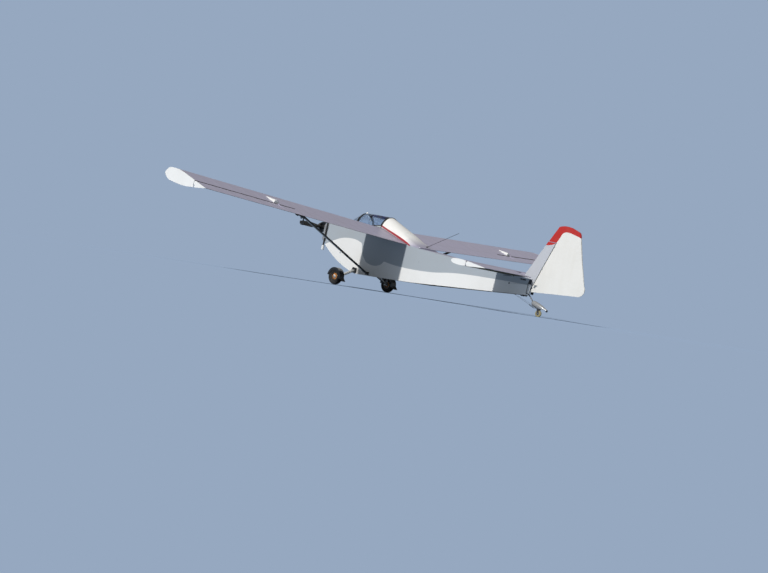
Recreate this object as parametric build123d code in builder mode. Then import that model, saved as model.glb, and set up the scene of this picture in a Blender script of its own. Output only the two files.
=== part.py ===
from build123d import *
import math
import os

os.makedirs("parts", exist_ok=True)

# Strut-braced single-seat microlight aircraft on a tail wheel, in millimetres.
# It is drawn in its level flight attitude: +X forward, +Y to port, +Z up, with X and Z zero at
# the trailing edge of the wing root. When a piece is written it is set down in the parked attitude.

# Wing
span = 10400.0
wing_chord = 1066.0
wing_thickness = 163.0
wing_dihedral = 2.4
wing_incidence = 3.4
trailing_edge_t = 4.0
# foil_table columns: share of the chord, height over the flat underside, from below round the nose
foil_table = [(0.470, 0.0), (0.660, 1.0), (0.845, 8.0), (0.957, 22.0), (1.000, 48.0),
              (0.966, 112.0), (0.863, 160.0), (0.732, 161.0), (0.565, 138.0)]
# tip_table columns: the same, for the lower edge of the end plate from its nose back
tip_table = [(1.000, 48.0), (0.915, -20.0), (0.770, -49.0), (0.600, -62.0), (0.400, -56.0)]
tip_rear_u = 253.0
tip_rear_v = -38.0
tip_t = 14.0
tip_gap = 32.0
aileron_chord = 265.0
aileron_inner_y = 3020.0
surface_gap = 6.0
nose_step = 1.5

# Fuselage hull, as heights of its top and bottom edges at the stations along it
fuselage_half = 290.0
firewall_x = 2090.0
firewall_top = 105.0
firewall_bottom = -356.0
chin_x = 1592.0
chin_z = -640.0
belly_x = 1150.0
belly_z = -769.0
leading_edge_top = 68.0
bulkhead_x = 750.0
bulkhead_bottom = -742.0
root_bottom = -681.0
taper_x = -300.0
taper_top = -10.0
taper_bottom = -657.0
stern_x = -2700.0
stern_top = -95.0
stern_bottom = -375.0
stern_half = 70.0
stern_lean = 60.0
panel_t = 14.0
floor_t = 12.0
firewall_t = 8.0

# Windscreen, canopy and the rounded deck behind it
screen_foot_x = 1800.0
front_bow_x = 1420.0
rear_bow_x = 750.0
front_sill_z = 130.0
rear_sill_z = 246.0
front_apex_z = 430.0
rear_apex_z = 444.0
glass_t = 4.0
deck_crown = 25.0
deck_t = 8.0
coaming_t = 14.0
frame_t = 16.0
bow_w = 20.0
rail_h = 18.0
seat_gap = 0.3
moving_gap = 5.0
lid_axis_y = -297.0
lid_axis_z = 226.0
lid_eye = 9.0
lid_pin = 3.0
lid_plate_t = 5.0
lid_hinges = [790.0, 1240.0]

# Engine, propeller and exhaust
thrust_z = -28.0
propeller_diameter = 1400.0
blade_count = 2
blade_root_chord = 70.0
blade_mid_chord = 115.0
blade_tip_chord = 60.0
hub_x = 2540.0
spinner_radius = 105.0
spinner_length = 160.0
spinner_tip = 9.0
hub_radius = 48.0
hub_length = 58.0
shaft_radius = 30.0
first_blade_angle = 90.0
engine_x = 2300.0
engine_length = 190.0
engine_width = 210.0
engine_height = 200.0
gear_case_radius = 64.0
block_drop = 20.0
mount_radius = 16.0
mount_spots = [(-95.0, -90.0), (95.0, -90.0), (-95.0, 60.0), (95.0, 60.0)]
head_height = 188.0
head_offset = 48.0
head_length = 80.0
head_width = 130.0
fin_length = 92.0
fin_width = 176.0
fin_rows = 9
fin_pitch = 18.0
first_fin_z = 14.0
cowl_front_x = 2350.0
cowl_front_half = 150.0
cowl_front_bottom = -300.0
cowl_front_top = 62.0
cowl_corner = 60.0
cowl_t = 4.0
cowl_inset = 12.0
cowl_rear_drop = 10.0
head_cutout = (30.0, 20.0, 200.0)
silencer_front_x = 2075.0
silencer_rear_x = 1830.0
silencer_y = 150.0
silencer_radius = 32.0
silencer_chamfer = 6.0
saddle_inset = 45.0
saddle_width = 16.0
saddle_foot = 24.0
band_t = 3.0
pipe_x = 2132.0
pipe_y = 296.0
pipe_radius = 17.0
pipe_foot_z = -467.0
outlet_radius = 26.0
outlet_length = 88.0
pipe_bend = 34.0

# Struts and small fittings on the wings
strut_x = 820.0
strut_head_y = 2410.0
strut_foot_z = -712.0
strut_chord = 78.0
strut_depth = 34.0
lug_y = 2310.0
lug_drop = 46.0
lug_radius = 18.0
lug_t = 8.0
lug_bore = 8.0
pitot_foot = (925.0, 2150.0, -46.0)
pitot_head = (905.0, 2170.0, 160.0)
pitot_radius = 8.0
probe_radius = 5.0
probe_length = 70.0
fairing_y = 3450.0
# fairing_table columns: distance ahead of the trailing edge, half width, height over the skin
fairing_table = [(580.0, 8.0, 6.0), (306.0, 60.0, 55.0)]
fairing_root = 5.0
horn_height = 20.0
horn_t = 6.0
horn_foot_u = 90.0
antenna_foot = (-225.0, 0.0, 26.0)
antenna_head = (-913.0, 0.0, 417.0)
antenna_radius = 3.5

# Undercarriage
main_wheel_x = 1159.0
main_wheel_z = -879.0
track = 1548.0
main_wheel_radius = 158.0
main_tyre_width = 92.0
main_rim_radius = 82.0
axle_radius = 12.0
leg_width = 76.0
leg_root_z = -700.0
leg_root_t = 26.0
leg_tip_t = 16.0
clamp_t = 14.0
clamp_length = 116.0
clamp_height = 96.0
block_gap = 22.0
block_side = 46.0
block_w = 30.0
axle_overhang = 44.0
rim_width = 70.0
guard_gap = 8.0
guard_t = 4.0
guard_depth = 46.0
guard_arm_w = 36.0
# guard_tail: outline of the mudguard's pointed rear and lower edge, behind the axle and above it
guard_tail = [(-228.0, -62.0), (-190.0, -28.0), (-60.0, -20.0), (-20.0, 0.0), (69.72, 91.3)]
rim_lip = 14.0
rim_web = 12.0
rim_hub_radius = 30.0
tail_wheel_x = -2950.0
tail_wheel_z = -640.0
tail_wheel_radius = 58.0
tail_tyre_width = 34.0
tail_tyre_corner = 9.0
tail_trail = 22.0
housing_radius = 49.0
housing_tail_radius = 18.0
housing_ends = [(178.0, 165.0), (-162.0, 72.0)]
housing_tip = 4.0
# housing_swell: share of the length, share of the greatest radius
housing_swell = [(0.45, 0.93), (0.80, 1.0), (0.945, 0.68)]
fork_room = 26.0
king_bore = 38.0
king_pin_radius = 9.0
king_pin_length = 36.0
fork_crown_t = 14.0
fork_crown_length = 56.0
fork_side = 12.0
fork_foot_half = 12.0
fork_plate_t = 6.0
fork_radius = 26.0
steering_bar = (70.0, 24.0)
steering_arms = (16.0, 150.0)
steering_t = 5.0
tail_axle_radius = 5.0
spring_tip_radius = 13.0
spring_root_radius = 9.0

# Tailplane
elevator_hinge_x = -2371.0
elevator_hinge_z = -61.0
tailplane_slope = 0.57
tailplane_rear_x = -2720.0
tailplane_half = 1500.0
elevator_nose = 41.0
elevator_edge = 3.0
torque_tube_radius = 12.0
# stabiliser_table columns: distance ahead of the hinge line, half thickness, from the nose back
stabiliser_table = [(353.0, 0.0), (330.0, 27.0), (280.0, 42.0), (190.0, 50.0), (90.0, 47.0)]

# Fin and rudder, all in the plane of symmetry
fin_foot_x = -2500.0
fin_t = 50.0
rudder_t = 50.0
hinge_foot_x = -2715.0
hinge_foot_z = -300.0
hinge_head_x = -3025.0
hinge_head_z = 604.0
horn_gap = 9.0
fin_head_x = -2838.0
horn_foot_x = -2846.0
horn_head_x = -2990.0
horn_head_z = 878.0
rudder_foot_drop = 12.0
# rudder outline after the horn: three points of the tip's arc, the rear edge, three of the lower corner
rudder_tip_arc = [(-3130.0, 908.0), (-3280.0, 884.0)]
rudder_rear = [(-3394.0, 846.0), (-3421.0, 813.0), (-3560.0, 370.0)]
rudder_corner = [(-3700.0, -20.0), (-3704.0, -160.0), (-3640.0, -205.0)]
rudder_edge_t = 3.0
wedge_nose = 400.0
wedge_tail = 1300.0
wedge_foot = 200.0
wedge_extra = 700.0

# Cockpit
panel_x = 1560.0
panel_foot_z = -70.0
panel_thick = 4.0
panel_drop = 12.0
panel_rise = 42.0
panel_top_half = 190.0
panel_tongue = (90.0, 60.0)
bezel_w = 4.0
bezel_t = 5.0
seat_half = 235.0
seat_back_top = 60.0
seat_back_foot_x = 850.0
seat_height = -600.0
pan_rise = 28.0
seat_front_x = 1135.0
cushion_t = 60.0
cushion_side = 25.0
cushion_round = 12.0
seat_wall = 14.0
seat_lip = 12.0
pedal_x = 1850.0
pedal_z = -400.0
pedal_y = 95.0
pedal_size = (12.0, 150.0)
pedal_w = 80.0
pedal_rise = 60.0
pedal_lean = 12.0
bar_radius = 10.0
stick_x = 1300.0
stick_height = 430.0
stick_base = (110.0, 80.0)
stick_base_t = 40.0
stick_radius = 11.0
grip_radius = 17.0
grip_length = 110.0
# dial_table columns: y, height above the hull's edge, radius
dial_table = [(-150.0, 0.0, 32.0), (-60.0, 0.0, 40.0), (40.0, 0.0, 40.0), (130.0, 0.0, 32.0),
              (-105.0, -70.0, 26.0), (-30.0, -76.0, 26.0), (45.0, -76.0, 26.0), (115.0, -70.0, 26.0)]

# Hinges
pin_radius = 4.0
pin_gap = 0.1
bracket_t = 6.0
pin_length = 44.0
eye_radius = 12.0


def top_edge(x):
    """Height of the hull's top edge at station x."""
    stations = [(stern_x, stern_top), (taper_x, taper_top), (0.0, -4.0),
                (wing_chord, leading_edge_top), (firewall_x, firewall_top)]
    for (x0, z0), (x1, z1) in zip(stations, stations[1:]):
        if x <= x1:
            return z0 + (z1 - z0) * (x - x0) / (x1 - x0)
    return firewall_top


def sill_edge(x):
    """Height of the slanted joint between the canopy and the coaming."""
    share = (x - rear_bow_x) / (front_bow_x - rear_bow_x)
    return rear_sill_z + share * (front_sill_z - rear_sill_z)


def finish(piece, label):
    """Sets one finished piece down in its parked attitude and writes it."""
    standing = piece.moved(parked)
    standing.label = label
    export_step(standing, f"parts/{label}.step")


# Parked attitude: the hull turns nose up until the three tyres stand on one floor
wheel_dx = main_wheel_x - tail_wheel_x
wheel_dz = main_wheel_z - tail_wheel_z
wheel_base = math.hypot(wheel_dx, wheel_dz)
radius_step = main_wheel_radius - tail_wheel_radius
nose_up = math.asin(radius_step / wheel_base) - math.atan2(wheel_dz, wheel_dx)
axle_height = main_wheel_x * math.sin(nose_up) + main_wheel_z * math.cos(nose_up)
nose_tip_x = hub_x + spinner_length
rudder_foot_x = -3700.0
rudder_foot_z = -150.0
front_end = nose_tip_x * math.cos(nose_up) - thrust_z * math.sin(nose_up)
rear_end = rudder_foot_x * math.cos(nose_up) - rudder_foot_z * math.sin(nose_up)
parked = Location((-(front_end + rear_end) / 2, 0, main_wheel_radius - axle_height),
                  (0, -math.degrees(nose_up), 0))


# Hull: two side panels, a curved belly panel, a firewall, a bulkhead and a closed tapering tail
def hull_side(y, thickness):
    """One flat side of the cockpit, from the firewall back to the seat bulkhead."""
    with BuildPart() as side:
        with BuildSketch(Plane.XZ.offset(-y)):
            with BuildLine():
                Polyline((firewall_x, firewall_bottom), (firewall_x, firewall_top),
                         (wing_chord, leading_edge_top), (bulkhead_x, top_edge(bulkhead_x)),
                         (bulkhead_x, bulkhead_bottom), (belly_x, belly_z))
                ThreePointArc((belly_x, belly_z), (chin_x, chin_z), (firewall_x, firewall_bottom))
            make_face()
        extrude(amount=thickness)
    return side.part


finish(hull_side(fuselage_half, panel_t), "side_panel_port")
finish(hull_side(panel_t - fuselage_half, panel_t), "side_panel_starboard")

with BuildPart() as belly_panel:
    with BuildSketch(Plane.XZ):
        with BuildLine():
            Polyline((firewall_x, firewall_bottom), (firewall_x, firewall_bottom + floor_t))
            ThreePointArc((firewall_x, firewall_bottom + floor_t), (chin_x, chin_z + floor_t),
                          (belly_x, belly_z + floor_t))
            Polyline((belly_x, belly_z + floor_t), (bulkhead_x, bulkhead_bottom + floor_t),
                     (bulkhead_x, bulkhead_bottom), (belly_x, belly_z))
            ThreePointArc((belly_x, belly_z), (chin_x, chin_z), (firewall_x, firewall_bottom))
        make_face()
    extrude(amount=fuselage_half - panel_t, both=True)
finish(belly_panel.part, "belly_panel")

with BuildPart() as firewall:
    with BuildSketch(Plane.YZ.offset(firewall_x)):
        with BuildLine():
            Polyline((fuselage_half, firewall_top), (fuselage_half, firewall_bottom),
                     (-fuselage_half, firewall_bottom), (-fuselage_half, firewall_top))
            ThreePointArc((-fuselage_half, firewall_top), (0, firewall_top + 25),
                          (fuselage_half, firewall_top))
        make_face()
    extrude(amount=firewall_t)
finish(firewall.part, "firewall")


def hull_section(x, half, bottom, top):
    """One rectangular cross section of the closed tail."""
    with BuildSketch(Plane.YZ.offset(x)) as section:
        with BuildLine():
            Polyline((half, bottom), (half, top), (-half, top), (-half, bottom), close=True)
        make_face()
    return section.sketch


hull_frames = [(bulkhead_x, fuselage_half, bulkhead_bottom, top_edge(bulkhead_x)),
               (0.0, fuselage_half, root_bottom, top_edge(0.0)),
               (taper_x, fuselage_half, taper_bottom, taper_top),
               (stern_x, stern_half, stern_bottom, stern_top)]
stern_plane = Plane(origin=(stern_x, 0, stern_top), x_dir=(0, 1, 0),
                    z_dir=(stern_top - stern_bottom, 0, stern_lean))
with BuildPart() as aft_fuselage:
    for fore, aft in zip(hull_frames, hull_frames[1:]):
        add(loft([hull_section(*fore), hull_section(*aft)], ruled=True))
    split(bisect_by=stern_plane, keep=Keep.TOP)


# Upper body: one outline from the windscreen's foot to the end of the rounded deck, from which
# the windscreen, its bow, the coamings, the canopy and the deck are cut
def upper_section(x, half, base, shoulder, apex):
    """One arch: upright sides to the shoulder, and a half ellipse over it made of three arcs."""
    rise = apex - shoulder
    inner = (0.55 * half, shoulder + rise * math.sqrt(1 - 0.55 ** 2))
    flank = (0.86 * half, shoulder + rise * math.sqrt(1 - 0.86 ** 2))
    with BuildSketch(Plane.YZ.offset(x)) as section:
        with BuildLine():
            Polyline((-half, shoulder), (-half, base), (half, base), (half, shoulder))
            ThreePointArc((half, shoulder), flank, inner)
            ThreePointArc(inner, (0, apex), (-inner[0], inner[1]))
            ThreePointArc((-inner[0], inner[1]), (-flank[0], flank[1]), (-half, shoulder))
        make_face()
    return section.sketch


def upper_body(inset):
    """The outline solid, drawn in by the thickness of a wall. Columns: x, half width, shoulder, apex."""
    stations = [(screen_foot_x, fuselage_half - 8, top_edge(screen_foot_x) + 6, top_edge(screen_foot_x) + 32),
                (front_bow_x, 264.0, 110.0, front_apex_z),
                (wing_chord, fuselage_half, 118.0, 442.0),
                (rear_bow_x, fuselage_half, 122.0, rear_apex_z),
                (200.0, fuselage_half, 70.0, 226.0),
                (0.0, fuselage_half, 30.0, 118.0),
                (taper_x, fuselage_half, taper_top + 4, taper_top + 24)]
    with BuildPart() as body:
        for fore, aft in zip(stations, stations[1:]):
            sections = []
            for x, half, shoulder, apex in (fore, aft):
                base = top_edge(x) - (60 if inset else 0)
                sections.append(upper_section(x, half - inset, base, shoulder - inset * 0.2, apex - inset))
            add(loft(sections, ruled=True))
        split(bisect_by=Plane.XZ.offset(-fuselage_half), keep=Keep.TOP)
        split(bisect_by=Plane.XZ.offset(fuselage_half), keep=Keep.BOTTOM)
    return body.part


outer_body = upper_body(0)
glass_core = upper_body(glass_t)
coaming_core = upper_body(coaming_t)
frame_core = upper_body(frame_t)


def slab(x0, x1):
    """A block that holds everything between two stations."""
    with BuildPart() as block:
        with BuildSketch(Plane.YZ.offset(x0)):
            Rectangle(4 * fuselage_half, 4 * fuselage_half)
        extrude(amount=x1 - x0)
    return block.part


def above_sill(lift):
    """A block over the slanted joint, raised by a lift."""
    with BuildPart() as block:
        with BuildSketch(Plane.XZ):
            with BuildLine():
                Polyline((rear_bow_x - 100, sill_edge(rear_bow_x - 100) + lift),
                         (front_bow_x + 100, sill_edge(front_bow_x + 100) + lift),
                         (front_bow_x + 100, 900), (rear_bow_x - 100, 900), close=True)
            make_face()
        extrude(amount=2 * fuselage_half, both=True)
    return block.part


bow_fore_x = front_bow_x + bow_w / 2
bow_aft_x = front_bow_x - bow_w / 2

with BuildPart() as windscreen:
    add(outer_body)
    add(glass_core, mode=Mode.SUBTRACT)
    add(slab(bow_fore_x, screen_foot_x), mode=Mode.INTERSECT)
finish(windscreen.part, "windscreen")

with BuildPart() as windscreen_bow:
    add(outer_body)
    add(frame_core, mode=Mode.SUBTRACT)
    add(slab(bow_aft_x, bow_fore_x), mode=Mode.INTERSECT)
finish(windscreen_bow.part, "windscreen_bow")

with BuildPart() as coamings:
    add(outer_body)
    add(coaming_core, mode=Mode.SUBTRACT)
    add(slab(rear_bow_x, bow_aft_x), mode=Mode.INTERSECT)
    add(above_sill(0), mode=Mode.SUBTRACT)
coaming_sides = coamings.part.solids().sort_by(Axis.Y)
finish(coaming_sides[-1], "coaming_port")


# The canopy's hinges stand outside the starboard joint, on one axis level with the hull
def lid_plate(x, band_low, band_high, bore):
    """Plate across the hull that leaves the wall in one band and ends in an eye on the hinge axis."""
    wall_y = lid_axis_y + 36.0
    with BuildPart() as plate:
        with BuildSketch(Plane.YZ.offset(x)):
            with Locations(((wall_y + lid_axis_y - lid_eye) / 2, (band_low + band_high) / 2)):
                Rectangle(wall_y - lid_axis_y + lid_eye, band_high - band_low)
            with Locations((lid_axis_y, (band_low + lid_axis_z) / 2)):
                Rectangle(2 * lid_eye, abs(lid_axis_z - band_low))
            with Locations((lid_axis_y, lid_axis_z)):
                Circle(lid_eye)
                if bore:
                    Circle(bore, mode=Mode.SUBTRACT)
        extrude(amount=lid_plate_t)
    return plate.part


with BuildPart() as coaming_starboard:
    add(coaming_sides[0])
    for hinge_x in lid_hinges:
        seam = sill_edge(hinge_x)
        add(lid_plate(hinge_x, seam - 20, seam - 5, 0))
        with BuildSketch(Plane.YZ.offset(hinge_x)):
            with Locations((lid_axis_y, lid_axis_z)):
                Circle(lid_pin)
        extrude(amount=2 * lid_plate_t + 1.5)
    add(coaming_core, mode=Mode.SUBTRACT)
finish(coaming_starboard.part, "coaming_starboard")

with BuildPart() as turtle_deck:
    add(outer_body)
    add(slab(taper_x, rear_bow_x), mode=Mode.INTERSECT)
finish(turtle_deck.part, "turtle_deck")

canopy_fore_x = bow_aft_x - moving_gap
canopy_aft_x = rear_bow_x + moving_gap

with BuildPart() as canopy_glass:
    add(outer_body)
    add(glass_core, mode=Mode.SUBTRACT)
    add(slab(canopy_aft_x + bow_w, canopy_fore_x - bow_w), mode=Mode.INTERSECT)
    add(above_sill(seat_gap + rail_h), mode=Mode.INTERSECT)
finish(canopy_glass.part, "canopy_glass")

with BuildPart() as frame_opening:
    add(slab(canopy_aft_x + bow_w, canopy_fore_x - bow_w))
    add(above_sill(seat_gap + rail_h), mode=Mode.INTERSECT)

with BuildPart() as canopy_frame:
    add(outer_body)
    add(frame_core, mode=Mode.SUBTRACT)
    add(slab(canopy_aft_x, canopy_fore_x), mode=Mode.INTERSECT)
    add(above_sill(seat_gap), mode=Mode.INTERSECT)
    add(frame_opening.part, mode=Mode.SUBTRACT)
    for hinge_x in lid_hinges:
        seam = sill_edge(hinge_x)
        add(lid_plate(hinge_x + lid_plate_t + seat_gap, seam + 3, seam + 16, lid_pin + pin_gap))
    add(frame_core, mode=Mode.SUBTRACT)
finish(canopy_frame.part, "canopy_frame")


# Nose: a crowned deck panel, an engine on its block with two heads above the deck line,
# a cowl band round it, an exhaust pipe down the port side and a silencer along the deck
def crescent(x):
    """Cross section of the deck panel: two arcs, one wall apart."""
    edge = top_edge(x)
    with BuildSketch(Plane.YZ.offset(x)) as section:
        with BuildLine():
            ThreePointArc((-fuselage_half, edge), (0, edge + deck_crown), (fuselage_half, edge))
            Line((fuselage_half, edge), (fuselage_half - panel_t, edge))
            ThreePointArc((fuselage_half - panel_t, edge), (0, edge + deck_crown - deck_t),
                          (panel_t - fuselage_half, edge))
            Line((panel_t - fuselage_half, edge), (-fuselage_half, edge))
        make_face()
    return section.sketch


with BuildPart() as nose_deck:
    add(loft([crescent(firewall_x), crescent(screen_foot_x)], ruled=True))
finish(nose_deck.part, "nose_deck")


def crown_section(x):
    """Solid cross section of the nose under its deck."""
    edge = top_edge(x)
    with BuildSketch(Plane.YZ.offset(x)) as section:
        with BuildLine():
            ThreePointArc((-fuselage_half, edge), (0, edge + deck_crown), (fuselage_half, edge))
            Polyline((fuselage_half, edge), (fuselage_half, 0), (-fuselage_half, 0), (-fuselage_half, edge))
        make_face()
    return section.sketch


with BuildPart() as crown:
    add(loft([crown_section(firewall_x), crown_section(screen_foot_x)], ruled=True))
nose_crown = crown.part

gear_case_length = (hub_x - hub_length - engine_x - engine_length / 2) * 0.6
with BuildPart() as engine_block:
    with BuildSketch(Plane.YZ.offset(engine_x - engine_length / 2)):
        with Locations((0, thrust_z - block_drop)):
            Rectangle(engine_width, engine_height)
    extrude(amount=engine_length)
    with BuildSketch(Plane.YZ.offset(engine_x + engine_length / 2)):
        with Locations((0, thrust_z)):
            Circle(gear_case_radius)
    extrude(amount=gear_case_length)
    with BuildSketch(Plane.YZ.offset(engine_x + engine_length / 2)):
        with Locations((0, thrust_z)):
            Circle(shaft_radius)
    extrude(amount=hub_x - hub_length - engine_x - engine_length / 2 - seat_gap)
    with BuildSketch(Plane.YZ.offset(firewall_x + firewall_t)):
        with Locations([(y, thrust_z + rise) for y, rise in mount_spots]):
            Circle(mount_radius)
    extrude(amount=engine_x - engine_length / 2 - firewall_x - firewall_t)
finish(engine_block.part, "engine_block")

# Two finned heads stand side by side on the block
head_base_z = thrust_z - block_drop + engine_height / 2
with BuildPart() as engine_heads:
    for head_x in (engine_x - head_offset, engine_x + head_offset):
        with BuildSketch(Plane.XY.offset(head_base_z)):
            with Locations((head_x, 0)):
                Rectangle(head_length, head_width)
        extrude(amount=head_height)
        for row in range(fin_rows):
            with BuildSketch(Plane.XY.offset(head_base_z + first_fin_z + row * fin_pitch)):
                with Locations((head_x, 0)):
                    RectangleRounded(fin_length, fin_width, 18)
            extrude(amount=fin_pitch / 3)
finish(engine_heads.part, "engine_heads")


def cowl_section(x, half, bottom, top, corner):
    """Rounded cross section of the cowl band."""
    with BuildSketch(Plane.YZ.offset(x)) as section:
        with Locations((0, (top + bottom) / 2)):
            RectangleRounded(2 * half, top - bottom, corner)
    return section.sketch


cowl_rear_x = firewall_x + firewall_t
with BuildPart() as nose_cowl:
    for wall, mode in ((0.0, Mode.ADD), (cowl_t, Mode.SUBTRACT)):
        rear = cowl_section(cowl_rear_x, fuselage_half - cowl_inset - wall,
                            firewall_bottom + cowl_rear_drop + wall, firewall_top - cowl_t - wall,
                            cowl_corner - wall)
        front = cowl_section(cowl_front_x, cowl_front_half - wall, cowl_front_bottom + wall,
                             cowl_front_top - wall, cowl_corner - wall)
        add(loft([rear, front], ruled=True), mode=mode)
    cut_drop, cut_room, cut_height = head_cutout
    with BuildSketch(Plane.XY.offset(head_base_z - cut_drop)):
        with Locations((engine_x, 0)):
            Rectangle(engine_length + cut_room, fin_width + cut_room)
    extrude(amount=cut_height, mode=Mode.SUBTRACT)
finish(nose_cowl.part, "nose_cowl")


# Exhaust: a silencer on the nose deck, and a pipe that bends down past the port side of the firewall
silencer_z = top_edge(silencer_front_x) + deck_crown + silencer_radius
with BuildPart() as silencer:
    with BuildSketch(Plane.YZ.offset(silencer_rear_x)):
        with Locations((silencer_y, silencer_z)):
            Circle(silencer_radius)
    extrude(amount=silencer_front_x - silencer_rear_x)
    chamfer(silencer.edges(), silencer_chamfer)
    for saddle_x in (silencer_rear_x + saddle_inset, silencer_front_x - saddle_inset):
        with BuildSketch(Plane.YZ.offset(saddle_x - saddle_width / 2)):
            with Locations((silencer_y, silencer_z)):
                Circle(silencer_radius + band_t)
                Rectangle(saddle_foot, 2 * silencer_radius + 20, align=(Align.CENTER, Align.MAX))
        extrude(amount=saddle_width)
    add(nose_crown, mode=Mode.SUBTRACT)
finish(silencer.part, "silencer")

with BuildPart() as exhaust_pipe:
    with BuildLine() as pipe_path:
        FilletPolyline((silencer_front_x + seat_gap, silencer_y, silencer_z), (pipe_x, silencer_y, silencer_z),
                       (pipe_x, pipe_y, silencer_z), (pipe_x, pipe_y, pipe_foot_z), radius=pipe_bend)
    with BuildSketch(Plane.YZ.offset(silencer_front_x + seat_gap)):
        with Locations((silencer_y, silencer_z)):
            Circle(pipe_radius)
    sweep()
    with BuildSketch(Plane.XY.offset(pipe_foot_z)):
        with Locations((pipe_x, pipe_y)):
            Circle(outlet_radius)
    extrude(amount=outlet_length)
finish(exhaust_pipe.part, "exhaust_pipe")


# Spinner and propeller turn together on the engine's shaft
with BuildPart() as spinner:
    with BuildSketch(Plane.XZ):
        with BuildLine():
            Line((hub_x, thrust_z), (hub_x, thrust_z + spinner_radius))
            ThreePointArc((hub_x, thrust_z + spinner_radius),
                          (hub_x + 0.55 * spinner_length, thrust_z + 0.68 * spinner_radius),
                          (nose_tip_x, thrust_z + spinner_tip))
            Polyline((nose_tip_x, thrust_z + spinner_tip), (nose_tip_x, thrust_z), (hub_x, thrust_z))
        make_face()
    revolve(axis=Axis((0, 0, thrust_z), (1, 0, 0)))
finish(spinner.part, "spinner")

# Each blade is a loft of thin lens sections, columns: radius, chord, thickness, pitch angle
blade_table = [(40.0, 46.0, 40.0, 62.0),
               (140.0, blade_root_chord, 24.0, 44.0),
               (380.0, blade_mid_chord, 14.0, 24.0),
               (600.0, 92.0, 9.0, 16.0),
               (propeller_diameter / 2, blade_tip_chord, 5.0, 13.0)]


def blade_section(radius, chord, thickness, pitch):
    """Lens section of a blade across its radius, turned to its pitch."""
    plane = Plane(origin=(hub_x - hub_length / 2, 0, thrust_z), x_dir=(0, 1, 0), z_dir=(0, 0, 1))
    with BuildSketch(plane.offset(radius).rotated((0, 0, pitch))) as section:
        with BuildLine():
            ThreePointArc((-chord / 2, 0), (-chord * 0.08, thickness * 0.62), (chord / 2, 0))
            ThreePointArc((chord / 2, 0), (-chord * 0.08, -thickness * 0.38), (-chord / 2, 0))
        make_face()
    return section.sketch


with BuildPart() as blade:
    for inner, outer in zip(blade_table, blade_table[1:]):
        add(loft([blade_section(*inner), blade_section(*outer)], ruled=True))

with BuildPart() as propeller:
    with BuildSketch(Plane.YZ.offset(hub_x - hub_length)):
        with Locations((0, thrust_z)):
            Circle(hub_radius)
    extrude(amount=hub_length - seat_gap)
    for turn in range(blade_count):
        blade_angle = first_blade_angle + turn * 360 / blade_count
        swung = blade.part.rotate(Axis((0, 0, thrust_z), (1, 0, 0)), blade_angle)
        add(swung)
finish(propeller.part, "propeller")


# Wing: a flat-bottomed section carried out along the span, seen by local u forward and v up
tilt = math.radians(wing_dihedral)
rigging = math.radians(wing_incidence)
chord_dir = Vector(math.cos(rigging), 0, math.sin(rigging))
span_dir = Vector(-math.sin(rigging) * math.sin(tilt), math.cos(tilt), math.cos(rigging) * math.sin(tilt))
rise_dir = chord_dir.cross(span_dir)
wing_plane = Plane(origin=(0, fuselage_half, 0), x_dir=chord_dir, z_dir=-span_dir)
wing_length = (span / 2 - fuselage_half) / math.cos(tilt)
aileron_start = (aileron_inner_y - fuselage_half) / math.cos(tilt)
foil_points = [(share * wing_chord, height) for share, height in foil_table]
tip_points = [(share * wing_chord, height) for share, height in tip_table]
aft_u, aft_v = foil_points[-1]


def upper_v(u):
    """Height of the wing's upper skin over its straight rear half."""
    return trailing_edge_t + (aft_v - trailing_edge_t) * u / aft_u


hinge_u = aileron_chord
hinge_v = upper_v(hinge_u) / 2
aileron_nose = hinge_v - nose_step


def span_station(distance):
    """Section plane at a distance out along the wing."""
    return wing_plane.offset(-distance)


def foil(distance):
    """Wing section at a distance out along the span."""
    with BuildSketch(span_station(distance)) as section:
        with BuildLine():
            Line((0, 0), foil_points[0])
            for start, middle, end in zip(foil_points[0::2], foil_points[1::2], foil_points[2::2]):
                ThreePointArc(start, middle, end)
            Polyline(foil_points[-1], (0, trailing_edge_t), (0, 0))
        make_face()
    return section.sketch


# Surface hinges: a fixed plate with a pin through its eye, and the slot and bores that take them
def hinge_bracket(section_plane, along, axis_u, axis_v, seat_u):
    """Plate and pin at one station of a hinge line. section_plane's normal is the hinge line."""
    with BuildPart() as bracket:
        with BuildSketch(section_plane.offset(along - bracket_t / 2)):
            with Locations((axis_u, axis_v)):
                Circle(eye_radius)
                Rectangle(seat_u - axis_u, 1.6 * eye_radius, align=(Align.MIN, Align.CENTER))
        extrude(amount=bracket_t)
        with BuildSketch(section_plane.offset(along - pin_length / 2)):
            with Locations((axis_u, axis_v)):
                Circle(pin_radius)
        extrude(amount=pin_length)
    return bracket.part


def hinge_slot(section_plane, along, axis_u, axis_v, depth):
    """The room that one hinge plate and its pin need in the moving surface."""
    slot_w = bracket_t + 2 * moving_gap
    reach = eye_radius + moving_gap
    with BuildPart() as slot:
        with BuildSketch(section_plane.offset(along - slot_w / 2)):
            with Locations((axis_u, axis_v)):
                Circle(reach)
                Rectangle(depth, 2 * depth, align=(Align.MIN, Align.CENTER))
        extrude(amount=slot_w)
        with BuildSketch(section_plane.offset(along - pin_length / 2 - 1)):
            with Locations((axis_u, axis_v)):
                Circle(pin_radius + pin_gap)
        extrude(amount=pin_length + 2)
    return slot.part


aileron_hinges = [-(aileron_start + share * (wing_length - aileron_start)) for share in (0.08, 0.5, 0.92)]
cove_u = hinge_u + aileron_nose + surface_gap
fairing_along = (fairing_y - fuselage_half) / math.cos(tilt)

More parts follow.
